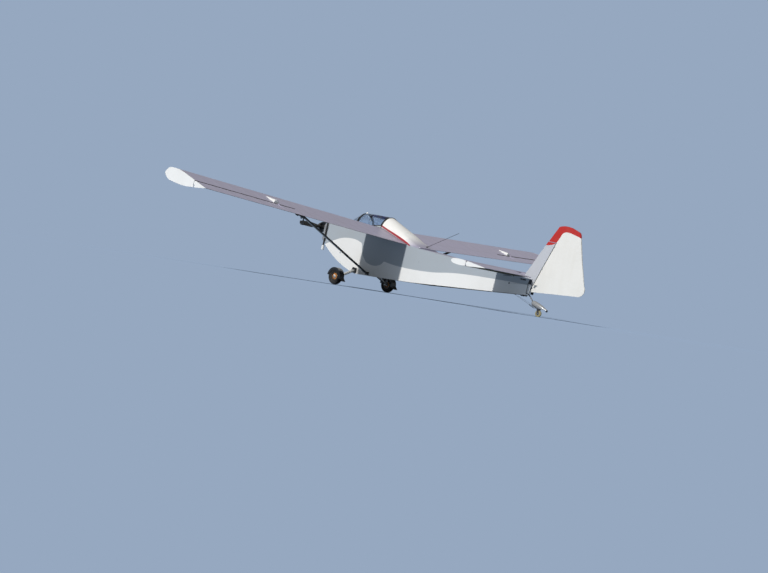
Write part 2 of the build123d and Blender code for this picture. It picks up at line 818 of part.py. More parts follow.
# End plates close the wing tip and the aileron, and bulge below the flat underside
with BuildPart() as wing_plate:
    with BuildSketch(span_station(wing_length - tip_t)):
        with BuildLine():
            for start, middle, end in zip(tip_points[0::2], tip_points[1::2], tip_points[2::2]):
                ThreePointArc(start, middle, end)
            Polyline(tip_points[-1], (tip_rear_u + tip_gap, tip_rear_v), (cove_u, 0), (cove_u, tip_t),
                     (tip_points[1][0], tip_points[0][1] + tip_t), tip_points[0])
        make_face()
    extrude(amount=tip_t, dir=span_dir)

with BuildPart() as aileron_plate:
    with BuildSketch(span_station(wing_length - tip_t)):
        with BuildLine():
            Polyline((hinge_u, 0), (tip_rear_u, tip_rear_v), (0, 0), (trailing_edge_t, trailing_edge_t),
                     (hinge_u, 2 * trailing_edge_t), close=True)
        make_face()
    extrude(amount=tip_t, dir=span_dir)

with BuildPart() as wing_port:
    extrude(foil(-40.0), amount=wing_length + 40.0, dir=span_dir)
    split(bisect_by=Plane.XZ.offset(-fuselage_half), keep=Keep.BOTTOM)
    with BuildSketch(span_station(aileron_start - surface_gap)):
        with Locations((cove_u, 0)):
            Rectangle(2 * cove_u, 4 * wing_thickness, align=(Align.MAX, Align.CENTER))
    extrude(amount=wing_length - aileron_start + 2 * surface_gap, dir=span_dir, mode=Mode.SUBTRACT)
    add(wing_plate.part)
    for along in aileron_hinges:
        add(hinge_bracket(wing_plane, along, hinge_u, hinge_v, cove_u))

with BuildPart() as aileron_port:
    extrude(foil(aileron_start), amount=wing_length - aileron_start, dir=span_dir)
    with BuildSketch(span_station(aileron_start - 1)):
        with Locations((hinge_u, 0)):
            Rectangle(2 * wing_chord, 4 * wing_thickness, align=(Align.MIN, Align.CENTER))
    extrude(amount=wing_length - aileron_start + 2, dir=span_dir, mode=Mode.SUBTRACT)
    with BuildSketch(span_station(aileron_start)):
        with Locations((hinge_u, hinge_v)):
            Circle(aileron_nose)
    extrude(amount=wing_length - aileron_start, dir=span_dir)
    add(aileron_plate.part)
    with BuildSketch(span_station(fairing_along - horn_t / 2)):
        with BuildLine():
            Polyline((hinge_u, hinge_v), (hinge_u, upper_v(hinge_u) + horn_height),
                     (horn_foot_u, upper_v(horn_foot_u)), (horn_foot_u, upper_v(horn_foot_u) / 2), close=True)
        make_face()
    extrude(amount=horn_t, dir=span_dir)
    for along in aileron_hinges:
        add(hinge_slot(wing_plane, along, hinge_u, hinge_v, aileron_nose), mode=Mode.SUBTRACT)

finish(wing_port.part, "wing_port")
finish(mirror(wing_port.part, about=Plane.XZ), "wing_starboard")
finish(aileron_port.part, "aileron_port")
finish(mirror(aileron_port.part, about=Plane.XZ), "aileron_starboard")


# Lift struts run from the wing's underside down to the lower edge of the hull
def ray(start, end, side, half_width, half_depth):
    """Streamlined tube between two points, its long way along side."""
    direction = Vector(*end) - Vector(*start)
    with BuildPart() as tube:
        with BuildSketch(Plane(origin=start, x_dir=side, z_dir=direction)):
            Ellipse(half_width, half_depth)
        extrude(amount=direction.length)
    return tube.part


strut_foot = (strut_x, fuselage_half - 60.0, strut_foot_z - 22.0)
strut_head = (strut_x, strut_head_y, strut_head_y * math.tan(tilt) + 60.0)
with BuildPart() as strut_port:
    add(ray(strut_foot, strut_head, (1, 0, 0), strut_chord / 2, strut_depth / 2))
    split(bisect_by=Plane.XZ.offset(-fuselage_half), keep=Keep.BOTTOM)
    add(wing_port.part, mode=Mode.SUBTRACT)
strut_tube = strut_port.part.solids().sort_by(Axis.Z)[0]
strut_share = (lug_y - strut_foot[1]) / (strut_head[1] - strut_foot[1])
lug_z = strut_foot[2] + strut_share * (strut_head[2] - strut_foot[2]) - lug_drop

with BuildPart() as lift_strut_port:
    add(strut_tube)
    with BuildSketch(Plane.XZ.offset(-(lug_y - lug_t / 2))):
        with Locations((strut_x, lug_z)):
            Circle(lug_radius)
            Rectangle(2 * lug_radius, lug_drop, align=(Align.CENTER, Align.MIN))
            Circle(lug_bore, mode=Mode.SUBTRACT)
    extrude(amount=-lug_t)
finish(lift_strut_port.part, "lift_strut_port")
finish(mirror(lift_strut_port.part, about=Plane.XZ), "lift_strut_starboard")


# Air-data mast under the port wing: a streamlined mast with a probe that points forward
with BuildPart() as pitot_mast:
    add(ray(pitot_foot, pitot_head, (1, 0, 0), 2 * pitot_radius, pitot_radius))
    with BuildSketch(Plane.YZ.offset(pitot_foot[0] - probe_length / 3)):
        with Locations((pitot_foot[1], pitot_foot[2])):
            Circle(probe_radius)
    extrude(amount=probe_length)
    add(wing_port.part, mode=Mode.SUBTRACT)
pitot_solid = pitot_mast.part.solids().sort_by(Axis.Z)[0]
finish(pitot_solid, "pitot_mast")

# Half-cone fairings on the upper skin where the aileron rods come out
def fairing_section(u, half_width, height):
    """Arched cross section of a fairing, its foot just under the skin."""
    foot = wing_plane.origin + chord_dir * u + rise_dir * upper_v(u) + span_dir * fairing_along
    with BuildSketch(Plane(origin=foot, x_dir=span_dir, z_dir=chord_dir)) as section:
        with BuildLine():
            Polyline((-half_width, 0), (-half_width, -fairing_root), (half_width, -fairing_root),
                     (half_width, 0))
            ThreePointArc((half_width, 0), (0, height), (-half_width, 0))
        make_face()
    return section.sketch


with BuildPart() as fairing_port:
    add(loft([fairing_section(*row) for row in fairing_table], ruled=True))
    add(wing_port.part, mode=Mode.SUBTRACT)
finish(fairing_port.part, "rod_fairing_port")
finish(mirror(fairing_port.part, about=Plane.XZ), "rod_fairing_starboard")

# Whip antenna on the rear deck
with BuildPart() as antenna:
    add(ray(antenna_foot, antenna_head, (0, 1, 0), antenna_radius, antenna_radius))
    add(ray(antenna_foot, (antenna_foot[0] - 50, 0, antenna_foot[2] + 28), (0, 1, 0), 9, 9))
    add(turtle_deck.part, mode=Mode.SUBTRACT)
    add(aft_fuselage.part, mode=Mode.SUBTRACT)
finish(antenna.part.solids().sort_by(SortBy.VOLUME)[-1], "antenna")


# Main undercarriage: a flat leg, an axle, and a wheel that turns on it under a mudguard
def main_leg():
    """Tapered spring leg of the port side with its root clamp on the hull's side, axle block and axle."""
    half_track = track / 2
    block_y = half_track - main_tyre_width / 2 - block_gap
    with BuildPart() as leg:
        with BuildSketch(Plane.YZ.offset(main_wheel_x - leg_width / 2)):
            with BuildLine():
                Polyline((fuselage_half, leg_root_z + leg_root_t / 2), (block_y, main_wheel_z + leg_tip_t / 2),
                         (block_y, main_wheel_z - leg_tip_t / 2), (fuselage_half, leg_root_z - leg_root_t / 2),
                         close=True)
            make_face()
        extrude(amount=leg_width)
        with BuildSketch(Plane.XZ.offset(-fuselage_half)):
            with Locations((main_wheel_x, leg_root_z)):
                RectangleRounded(clamp_length, clamp_height, 16)
        extrude(amount=-clamp_t)
        with BuildSketch(Plane.XZ.offset(-(block_y - block_w))):
            with Locations((main_wheel_x, main_wheel_z)):
                Rectangle(block_side, block_side)
        extrude(amount=-block_w)
        with BuildSketch(Plane.XZ.offset(-block_y)):
            with Locations((main_wheel_x, main_wheel_z)):
                Circle(axle_radius)
        extrude(amount=-(half_track + axle_overhang - block_y))
    return leg.part


leg_port = main_leg()
finish(leg_port, "gear_leg_port")
finish(mirror(leg_port, about=Plane.XZ), "gear_leg_starboard")


def wheel_ring(y, inner, outer, width, corner):
    """Ring of rounded section about an axle at height zero of its own plane."""
    with BuildPart() as ring:
        with BuildSketch(Plane.YZ):
            with Locations((0, (inner + outer) / 2)):
                RectangleRounded(width, outer - inner, corner)
        revolve(axis=Axis.Y)
    return ring.part


main_axle = Location((main_wheel_x, track / 2, main_wheel_z))
tyre_port = wheel_ring(0, main_rim_radius, main_wheel_radius, main_tyre_width, 30.0).moved(main_axle)
finish(tyre_port, "main_tyre_port")
finish(mirror(tyre_port, about=Plane.XZ), "main_tyre_starboard")

with BuildPart() as main_rim:
    with BuildSketch(Plane.XZ.offset(rim_width / 2)):
        Circle(main_rim_radius - seat_gap)
    extrude(amount=-rim_width)
    with BuildSketch(Plane.XZ.offset(rim_width / 2)):
        Circle(main_rim_radius - rim_lip)
        Circle(rim_hub_radius, mode=Mode.SUBTRACT)
    extrude(amount=-(rim_width - rim_web) / 2, mode=Mode.SUBTRACT)
    with BuildSketch(Plane.XZ.offset(-rim_width / 2)):
        Circle(main_rim_radius - rim_lip)
        Circle(rim_hub_radius, mode=Mode.SUBTRACT)
    extrude(amount=(rim_width - rim_web) / 2, mode=Mode.SUBTRACT)
    with BuildSketch(Plane.XZ.offset(rim_width)):
        Circle(axle_radius + pin_gap)
    extrude(amount=-2 * rim_width, mode=Mode.SUBTRACT)
rim_port = main_rim.part.moved(main_axle)
finish(rim_port, "main_rim_port")
finish(mirror(rim_port, about=Plane.XZ), "main_rim_starboard")

guard_inner = main_wheel_radius + guard_gap
guard_half = main_tyre_width / 2 + guard_gap + guard_t
with BuildPart() as mudguard:
    with BuildSketch(Plane.XZ.offset(guard_half)):
        with BuildLine():
            ThreePointArc((guard_inner + guard_t, 0), (0, guard_inner + guard_t), (-guard_inner - guard_t, 0))
            Polyline((-guard_inner - guard_t, 0), *guard_tail, (guard_inner + guard_t, 0))
        make_face()
    extrude(amount=-2 * guard_half)
    with BuildSketch(Plane.XZ.offset(guard_half - guard_t)):
        Circle(guard_inner)
    extrude(amount=-2 * (guard_half - guard_t), mode=Mode.SUBTRACT)
    with BuildSketch(Plane.XZ.offset(guard_half)):
        Circle(guard_inner - guard_depth)
    extrude(amount=-2 * guard_half, mode=Mode.SUBTRACT)
    with BuildSketch(Plane.XZ.offset(guard_half - guard_t)):
        with BuildLine():
            Polyline((-guard_arm_w / 2, -guard_arm_w / 2), (guard_arm_w / 2, -guard_arm_w / 2),
                     (guard_arm_w * 5 / 6, guard_inner - guard_depth + 6.0),
                     (-guard_arm_w * 5 / 6, guard_inner - guard_depth + 6.0), close=True)
        make_face()
    extrude(amount=guard_t)
    with BuildSketch(Plane.XZ.offset(guard_half + 1)):
        Circle(axle_radius + 1)
    extrude(amount=-3 * guard_half, mode=Mode.SUBTRACT)
mudguard_port = mudguard.part.moved(main_axle)
finish(mudguard_port, "mudguard_port")
finish(mirror(mudguard_port, about=Plane.XZ), "mudguard_starboard")


# Tailplane: a fixed front half let into the hull's top, and an elevator on one torque tube
tail_pitch = math.radians(tailplane_slope)
tailplane_plane = Plane(origin=(elevator_hinge_x, 0, elevator_hinge_z),
                        x_dir=(math.cos(tail_pitch), 0, math.sin(tail_pitch)), z_dir=(0, -1, 0))
stabiliser_rear = elevator_nose + surface_gap
elevator_rear = tailplane_rear_x - elevator_hinge_x
hinge_share = (elevator_hinge_x - stern_x) / (taper_x - stern_x)
hull_half_at_hinge = stern_half + (fuselage_half - stern_half) * hinge_share
elevator_inner = hull_half_at_hinge + 10.0
elevator_hinges = [share * tailplane_half for share in (-0.86, -0.30, 0.30, 0.86)]

with BuildPart() as stabiliser:
    with BuildSketch(tailplane_plane.offset(-tailplane_half)):
        with BuildLine():
            for side in (1, -1):
                edge = [(u, side * v) for u, v in stabiliser_table]
                for start, middle, end in zip(edge[0::2], edge[1::2], edge[2::2]):
                    ThreePointArc(start, middle, end)
                Line(edge[-1], (stabiliser_rear, side * elevator_nose))
            Line((stabiliser_rear, -elevator_nose), (stabiliser_rear, elevator_nose))
        make_face()
    extrude(amount=2 * tailplane_half)
    for along in elevator_hinges:
        add(hinge_bracket(tailplane_plane, along, 0, 0, stabiliser_rear))
finish(stabiliser.part, "stabiliser")

with BuildPart() as notched_hull:
    add(aft_fuselage.part)
    add(stabiliser.part, mode=Mode.SUBTRACT)
finish(notched_hull.part, "aft_fuselage")

with BuildPart() as elevator:
    with BuildSketch(tailplane_plane.offset(-tailplane_half)):
        Circle(elevator_nose)
        with BuildLine():
            Polyline((0, -elevator_nose), (0, elevator_nose), (elevator_rear, elevator_edge),
                     (elevator_rear, -elevator_edge), close=True)
        make_face()
    extrude(amount=2 * tailplane_half)
    with BuildSketch(tailplane_plane.offset(-elevator_inner)):
        Rectangle(3 * abs(elevator_rear), 6 * elevator_nose)
    extrude(amount=2 * elevator_inner, mode=Mode.SUBTRACT)
    with BuildSketch(tailplane_plane.offset(-elevator_inner)):
        Circle(torque_tube_radius)
    extrude(amount=2 * elevator_inner)
    for along in elevator_hinges:
        add(hinge_slot(tailplane_plane, along, 0, 0, elevator_nose), mode=Mode.SUBTRACT)
finish(elevator.part, "elevator")


# Fin with its post behind the hull, and the rudder with a horn over the fin
def hinge_line_x(z):
    """Station of the rudder's hinge line at a height."""
    return hinge_foot_x + (hinge_head_x - hinge_foot_x) * (z - hinge_foot_z) / (hinge_head_z - hinge_foot_z)


hinge_lean = math.atan2(hinge_foot_x - hinge_head_x, hinge_head_z - hinge_foot_z)
hinge_length = math.hypot(hinge_foot_x - hinge_head_x, hinge_head_z - hinge_foot_z)
hinge_dir = (-math.sin(hinge_lean), 0, math.cos(hinge_lean))
hinge_plane = Plane(origin=(hinge_foot_x, 0, hinge_foot_z),
                    x_dir=(math.cos(hinge_lean), 0, math.sin(hinge_lean)), z_dir=hinge_dir)
post_u = rudder_t / 2 + surface_gap
post_dx = post_u / math.cos(hinge_lean)
fin_top_z = hinge_head_z - horn_gap
fin_foot_z = top_edge(fin_foot_x)
post_foot_z = hinge_foot_z - 40.0
rudder_hinges = [0.06 * hinge_length, 0.45 * hinge_length, 0.9 * hinge_length]

with BuildPart() as fin:
    with BuildSketch(Plane.XZ.offset(-fin_t / 2)):
        with BuildLine():
            Polyline((fin_foot_x, fin_foot_z), (fin_head_x, fin_top_z),
                     (hinge_line_x(fin_top_z) + post_dx, fin_top_z),
                     (hinge_line_x(post_foot_z) + post_dx, post_foot_z),
                     (fin_foot_x, post_foot_z), close=True)
        make_face()
    extrude(amount=fin_t)
    add(aft_fuselage.part, mode=Mode.SUBTRACT)
fin_blade = fin.part.solids().sort_by(Axis.X)[0]

with BuildPart() as fin_assembly:
    add(fin_blade)
    for along in rudder_hinges:
        add(hinge_bracket(hinge_plane, along, 0, 0, post_u + 1))
finish(fin_assembly.part, "fin")

with BuildPart() as rudder_wedge:
    with BuildSketch(hinge_plane.offset(-wedge_foot)):
        with BuildLine():
            Polyline((wedge_nose, rudder_t * 0.3), (0, rudder_t / 2), (-wedge_tail, rudder_edge_t / 2),
                     (-wedge_tail, -rudder_edge_t / 2), (0, -rudder_t / 2), (wedge_nose, -rudder_t * 0.3),
                     close=True)
        make_face()
    extrude(amount=hinge_length + wedge_extra)

with BuildPart() as rudder:
    with BuildSketch(Plane.XZ.offset(-rudder_t)):
        with BuildLine():
            Polyline((hinge_foot_x, hinge_foot_z - rudder_foot_drop), (hinge_head_x, hinge_head_z),
                     (horn_foot_x, hinge_head_z), (horn_head_x, horn_head_z))
            ThreePointArc((horn_head_x, horn_head_z), *rudder_tip_arc)
            Polyline(rudder_tip_arc[-1], *rudder_rear, rudder_corner[0])
            ThreePointArc(*rudder_corner)
            Line(rudder_corner[-1], (hinge_foot_x, hinge_foot_z - rudder_foot_drop))
        make_face()
    extrude(amount=2 * rudder_t)
    add(rudder_wedge.part, mode=Mode.INTERSECT)
    with BuildSketch(hinge_plane):
        Circle(rudder_t / 2)
    extrude(amount=hinge_length)
    for along in rudder_hinges:
        add(hinge_slot(hinge_plane, along, 0, 0, rudder_t / 2), mode=Mode.SUBTRACT)
finish(rudder.part, "rudder")


# Tail wheel: a spring rod carries a teardrop housing, and the fork turns in it
housing_nose, housing_tail = [(tail_wheel_x + dx, tail_wheel_z + dz) for dx, dz in housing_ends]
housing_slope = math.atan2(housing_nose[1] - housing_tail[1], housing_nose[0] - housing_tail[0])
housing_length = math.hypot(housing_nose[1] - housing_tail[1], housing_nose[0] - housing_tail[0])
housing_plane = Plane(origin=(housing_tail[0], 0, housing_tail[1]),
                      x_dir=(math.cos(housing_slope), 0, math.sin(housing_slope)), z_dir=(0, -1, 0))
fork_x = tail_wheel_x + tail_trail
fork_top_z = tail_wheel_z + tail_wheel_radius + fork_room
housing_rear, housing_belly, housing_front = [(share * housing_length, swell * housing_radius)
                                              for share, swell in housing_swell]

with BuildPart() as tail_housing:
    with BuildSketch(housing_plane):
        with BuildLine():
            Line((housing_tip, 0), (housing_tip, housing_tail_radius))
            ThreePointArc((housing_tip, housing_tail_radius), housing_rear, housing_belly)
            ThreePointArc(housing_belly, housing_front, (housing_length, housing_tip))
            Polyline((housing_length, housing_tip), (housing_length, 0), (housing_tip, 0))
        make_face()
    revolve(axis=Axis((housing_tail[0], 0, housing_tail[1]),
                      (math.cos(housing_slope), 0, math.sin(housing_slope))))
    with BuildSketch(Plane.XY.offset(fork_top_z)):
        with Locations((fork_x, 0)):
            Rectangle(3 * housing_length, 4 * housing_radius)
    extrude(amount=-2 * housing_radius, mode=Mode.SUBTRACT)
    with BuildSketch(Plane.XY.offset(fork_top_z)):
        with Locations((fork_x, 0)):
            Circle(king_pin_radius + pin_gap)
    extrude(amount=king_bore, mode=Mode.SUBTRACT)
finish(tail_housing.part, "tail_housing")

spring_foot = (housing_nose[0] - 34.0, 0, housing_nose[1] - 4.0)
spring_head = (stern_x + 46.0, 0, stern_bottom + 40.0)
with BuildPart() as tail_spring:
    add(ray(spring_foot, spring_head, (0, 1, 0), spring_tip_radius, spring_root_radius))
    add(aft_fuselage.part, mode=Mode.SUBTRACT)
    add(tail_housing.part, mode=Mode.SUBTRACT)
    add(fin_assembly.part, mode=Mode.SUBTRACT)
spring_rod = tail_spring.part.solids().sort_by(SortBy.VOLUME)[-1]
finish(spring_rod, "tail_spring")

with BuildPart() as tail_fork:
    with BuildSketch(Plane.XY.offset(fork_top_z - seat_gap)):
        with Locations((fork_x, 0)):
            Circle(fork_radius)
        with Locations(((fork_x + tail_wheel_x) / 2, 0)):
            Rectangle(fork_crown_length, tail_tyre_width + 2 * fork_side)
    extrude(amount=-fork_crown_t)
    with BuildSketch(Plane.XY.offset(fork_top_z - seat_gap)):
        with Locations((fork_x, 0)):
            Circle(king_pin_radius)
    extrude(amount=king_pin_length)
    for side in (1, -1):
        with BuildSketch(Plane.XZ.offset(side * (tail_tyre_width / 2 + fork_side - fork_plate_t / 2)
                                         - fork_plate_t / 2)):
            with BuildLine():
                Polyline((tail_wheel_x - fork_foot_half, tail_wheel_z - 10),
                         (tail_wheel_x + fork_foot_half, tail_wheel_z - 10),
                         (fork_x + 14, fork_top_z - 10), (fork_x - 30, fork_top_z - 10), close=True)
            make_face()
        extrude(amount=fork_plate_t)
    with BuildSketch(Plane.XZ.offset(tail_tyre_width / 2 + fork_side)):
        with Locations((tail_wheel_x, tail_wheel_z)):
            Circle(tail_axle_radius)
    extrude(amount=-(tail_tyre_width + 2 * fork_side))
    with BuildSketch(Plane.XY.offset(fork_top_z - seat_gap)):
        with Locations((fork_x + 34, 0)):
            Rectangle(*steering_arms)
            Rectangle(*steering_bar)
    extrude(amount=-steering_t)
finish(tail_fork.part, "tail_fork")

with BuildPart() as tail_wheel:
    with BuildSketch(Plane.YZ.offset(tail_wheel_x)):
        with Locations((0, tail_wheel_z + (tail_wheel_radius + tail_axle_radius + pin_gap) / 2)):
            RectangleRounded(tail_tyre_width, tail_wheel_radius - tail_axle_radius - pin_gap, tail_tyre_corner)
    revolve(axis=Axis((tail_wheel_x, 0, tail_wheel_z), (0, 1, 0)))
finish(tail_wheel.part, "tail_wheel")


# Cockpit fittings: instrument panel with its hood, seat pan and cushion, stick, pedals
with BuildPart() as instrument_panel:
    with BuildSketch(Plane.YZ.offset(panel_x)):
        with BuildLine():
            half = fuselage_half - panel_t
            tongue_half, tongue_drop = panel_tongue
            Polyline((half, panel_foot_z), (half, top_edge(panel_x) - panel_drop),
                     (panel_top_half, top_edge(panel_x) + panel_rise),
                     (-panel_top_half, top_edge(panel_x) + panel_rise), (-half, top_edge(panel_x) - panel_drop),
                     (-half, panel_foot_z), (-tongue_half, panel_foot_z - tongue_drop),
                     (tongue_half, panel_foot_z - tongue_drop), close=True)
        make_face()
    extrude(amount=panel_thick)
    for dial_y, dial_z, dial_r in dial_table:
        with BuildSketch(Plane.YZ.offset(panel_x)):
            with Locations((dial_y, top_edge(panel_x) + dial_z)):
                Circle(dial_r)
                Circle(dial_r - bezel_w, mode=Mode.SUBTRACT)
        extrude(amount=-bezel_t)
finish(instrument_panel.part, "instrument_panel")


def belly_top(x):
    """Height of the floor in the straight stretch ahead of the seat bulkhead."""
    return bulkhead_bottom + floor_t + (belly_z - bulkhead_bottom) * (x - bulkhead_x) / (belly_x - bulkhead_x)


with BuildPart() as seat_pan:
    with BuildSketch(Plane.XZ.offset(-seat_half)):
        with BuildLine():
            lip_x = seat_front_x - seat_lip
            Polyline((bulkhead_x, seat_back_top), (bulkhead_x + seat_wall, seat_back_top),
                     (seat_back_foot_x, seat_height), (seat_front_x, seat_height + pan_rise),
                     (seat_front_x, belly_top(seat_front_x)), (lip_x, belly_top(lip_x)),
                     (lip_x, seat_height + seat_wall), (seat_back_foot_x - seat_wall, seat_height - seat_lip),
                     (bulkhead_x, seat_height + 60), close=True)
        make_face()
    extrude(amount=2 * seat_half)
finish(seat_pan.part, "seat_pan")

with BuildPart() as stick:
    with BuildSketch(Plane.XY.offset(belly_top(belly_x))):
        with Locations((stick_x, 0)):
            RectangleRounded(*stick_base, 12)
    extrude(amount=stick_base_t)
    with BuildSketch(Plane.XY.offset(belly_top(belly_x) + stick_base_t)):
        with Locations((stick_x, 0)):
            Circle(stick_radius)
    extrude(amount=stick_height - grip_length)
    with BuildSketch(Plane.XY.offset(belly_top(belly_x) + stick_height + stick_base_t - grip_length)):
        with Locations((stick_x, 0)):
            Circle(grip_radius)
    extrude(amount=grip_length)
    add(belly_panel.part, mode=Mode.SUBTRACT)
finish(stick.part.solids().sort_by(SortBy.VOLUME)[-1], "control_stick")

def pan_top(x):
    """Height of the seat pan's upper face."""
    return seat_height + pan_rise * (x - seat_back_foot_x) / (seat_front_x - seat_back_foot_x)


with BuildPart() as seat_cushion:
    cushion_rear = seat_back_foot_x + 8.0
    cushion_front = seat_front_x - 6.0
    with BuildSketch(Plane.XZ.offset(-(seat_half - cushion_side))):
        with BuildLine():
            Polyline((cushion_rear, pan_top(cushion_rear)), (cushion_front, pan_top(cushion_front)),
                     (cushion_front - 10, pan_top(cushion_front) + cushion_t),
                     (cushion_rear, pan_top(cushion_rear) + cushion_t), close=True)
        make_face()
    extrude(amount=2 * (seat_half - cushion_side))
    fillet(seat_cushion.edges().filter_by(Axis.Y), cushion_round)
finish(seat_cushion.part, "seat_cushion")

with BuildPart() as rudder_pedals:
    with BuildSketch(Plane.XZ.offset(-(fuselage_half - panel_t))):
        with Locations((pedal_x, pedal_z)):
            Circle(bar_radius)
    extrude(amount=2 * (fuselage_half - panel_t))
    for side in (1, -1):
        with BuildSketch(Plane.XZ.offset(-(side * pedal_y - pedal_w / 2))):
            with Locations(Location((pedal_x - 6, pedal_z + pedal_rise), pedal_lean)):
                RectangleRounded(*pedal_size, 5)
        extrude(amount=-pedal_w)
finish(rudder_pedals.part, "rudder_pedals")
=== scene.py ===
import math

import bmesh
import bpy
from mathutils import Matrix, Vector
from mathutils.bvhtree import BVHTree


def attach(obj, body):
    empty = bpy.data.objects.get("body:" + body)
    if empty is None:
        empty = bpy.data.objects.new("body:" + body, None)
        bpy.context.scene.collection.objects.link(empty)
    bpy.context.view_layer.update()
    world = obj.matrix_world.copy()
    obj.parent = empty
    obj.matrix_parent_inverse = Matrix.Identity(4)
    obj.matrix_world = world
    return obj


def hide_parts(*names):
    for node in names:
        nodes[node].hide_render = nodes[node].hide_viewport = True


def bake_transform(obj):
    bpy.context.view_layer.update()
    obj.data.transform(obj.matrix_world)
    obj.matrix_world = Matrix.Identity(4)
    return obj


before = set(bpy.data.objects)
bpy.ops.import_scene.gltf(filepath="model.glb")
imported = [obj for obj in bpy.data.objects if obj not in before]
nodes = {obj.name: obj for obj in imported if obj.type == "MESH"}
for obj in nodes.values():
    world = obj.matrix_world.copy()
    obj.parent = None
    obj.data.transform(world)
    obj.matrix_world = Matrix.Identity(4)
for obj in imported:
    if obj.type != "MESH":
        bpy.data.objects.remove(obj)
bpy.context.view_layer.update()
print("stage: frame loaded")

# Places below are given in the aircraft's level attitude, in metres, and then parked nose up
parkedAngle = 0.0823977
parkedShift = (0.490979, 0.0, 0.938627)
parked = Matrix.Translation(parkedShift) @ Matrix.Rotation(-parkedAngle, 4, "Y")
wingRise = math.tan(math.radians(2.4))


def rows(text):
    # "a b, c d" in millimetres, as rows of metres
    return [tuple(float(part) / 1000 for part in row.split()) for row in text.split(",")]


def srgb(red, green, blue):
    # screen colour, 0 to 255, as the linear colour a shader takes
    shares = [part / 255 for part in (red, green, blue)]
    linear = [share / 12.92 if share < 0.04045 else ((share + 0.055) / 1.055) ** 2.4 for share in shares]
    return (*linear, 1.0)


colours = {name: srgb(*parts) for name, parts in {
    "hullGrey": (166, 172, 176), "hullWhite": (233, 231, 226), "deckLavender": (162, 158, 176),
    "underOliveAndPaintedShade": (54, 50, 22), "tipWhite": (234, 233, 229), "stripeRed": (158, 26, 44),
    "finGrey": (190, 192, 196),
    "rudderWhite": (230, 227, 219), "finRed": (186, 42, 38), "plywood": (168, 138, 98),
    "grain": (140, 108, 72),
    "aged": (176, 160, 126), "bulkhead": (150, 136, 112), "leg": (182, 184, 182), "dust": (150, 140, 120),
    "soot": (34, 30, 28), "trimBlack": (26, 27, 30), "strutOlive": (44, 43, 34),
}.items()}


def tint(colour):
    return colours[colour] if isinstance(colour, str) else srgb(*colour)


# Shader wiring
def put(tree, kind, inputs=None, **settings):
    made = tree.nodes.new("ShaderNode" + kind)
    for name, value in settings.items():
        setattr(made, name, value)
    for key, value in (inputs or {}).items():
        feed(tree, made.inputs[key], value)
    return made


def feed(tree, socket, value):
    if isinstance(value, Field):
        value = value.socket
    if isinstance(value, bpy.types.NodeSocket):
        tree.links.new(value, socket)
    else:
        socket.default_value = value


class Field:
    # a value that changes over a surface, reckoned with plain signs
    def __init__(self, tree, socket):
        self.tree, self.socket = tree, socket

    def reckon(self, operation, first, second=0.0):
        return Field(self.tree, put(self.tree, "Math", {0: first, 1: second}, operation=operation).outputs[0])

    def __add__(self, other):
        return self.reckon("ADD", self, other)

    def __sub__(self, other):
        return self.reckon("SUBTRACT", self, other)

    def __rsub__(self, other):
        return self.reckon("SUBTRACT", other, self)

    def __mul__(self, other):
        return self.reckon("MULTIPLY", self, other)

    def __neg__(self):
        return self * -1.0

    def __abs__(self):
        return self.reckon("ABSOLUTE", self)

    def __pow__(self, power):
        return self.reckon("POWER", self, power)

    def most(self, other):
        return self.reckon("MAXIMUM", self, other)

    def fold(self, half):
        return self.reckon("PINGPONG", self, half)

    def spread(self, low, high, first, last):
        made = put(self.tree, "MapRange", {0: self, 1: low, 2: high, 3: first, 4: last})
        return Field(self.tree, made.outputs[0])

    def rise(self, low, high):
        # 0 below low, 1 above high; near is the other way round
        return self.spread(low, high, 0.0, 1.0)

    def near(self, low, high):
        return 1.0 - self.rise(low, high)

    def mix(self, low, high):
        # the colour low where this is 0, high where it is 1
        return Field(self.tree, put(self.tree, "Mix", {0: self, 6: low, 7: high},
            data_type="RGBA").outputs[2])


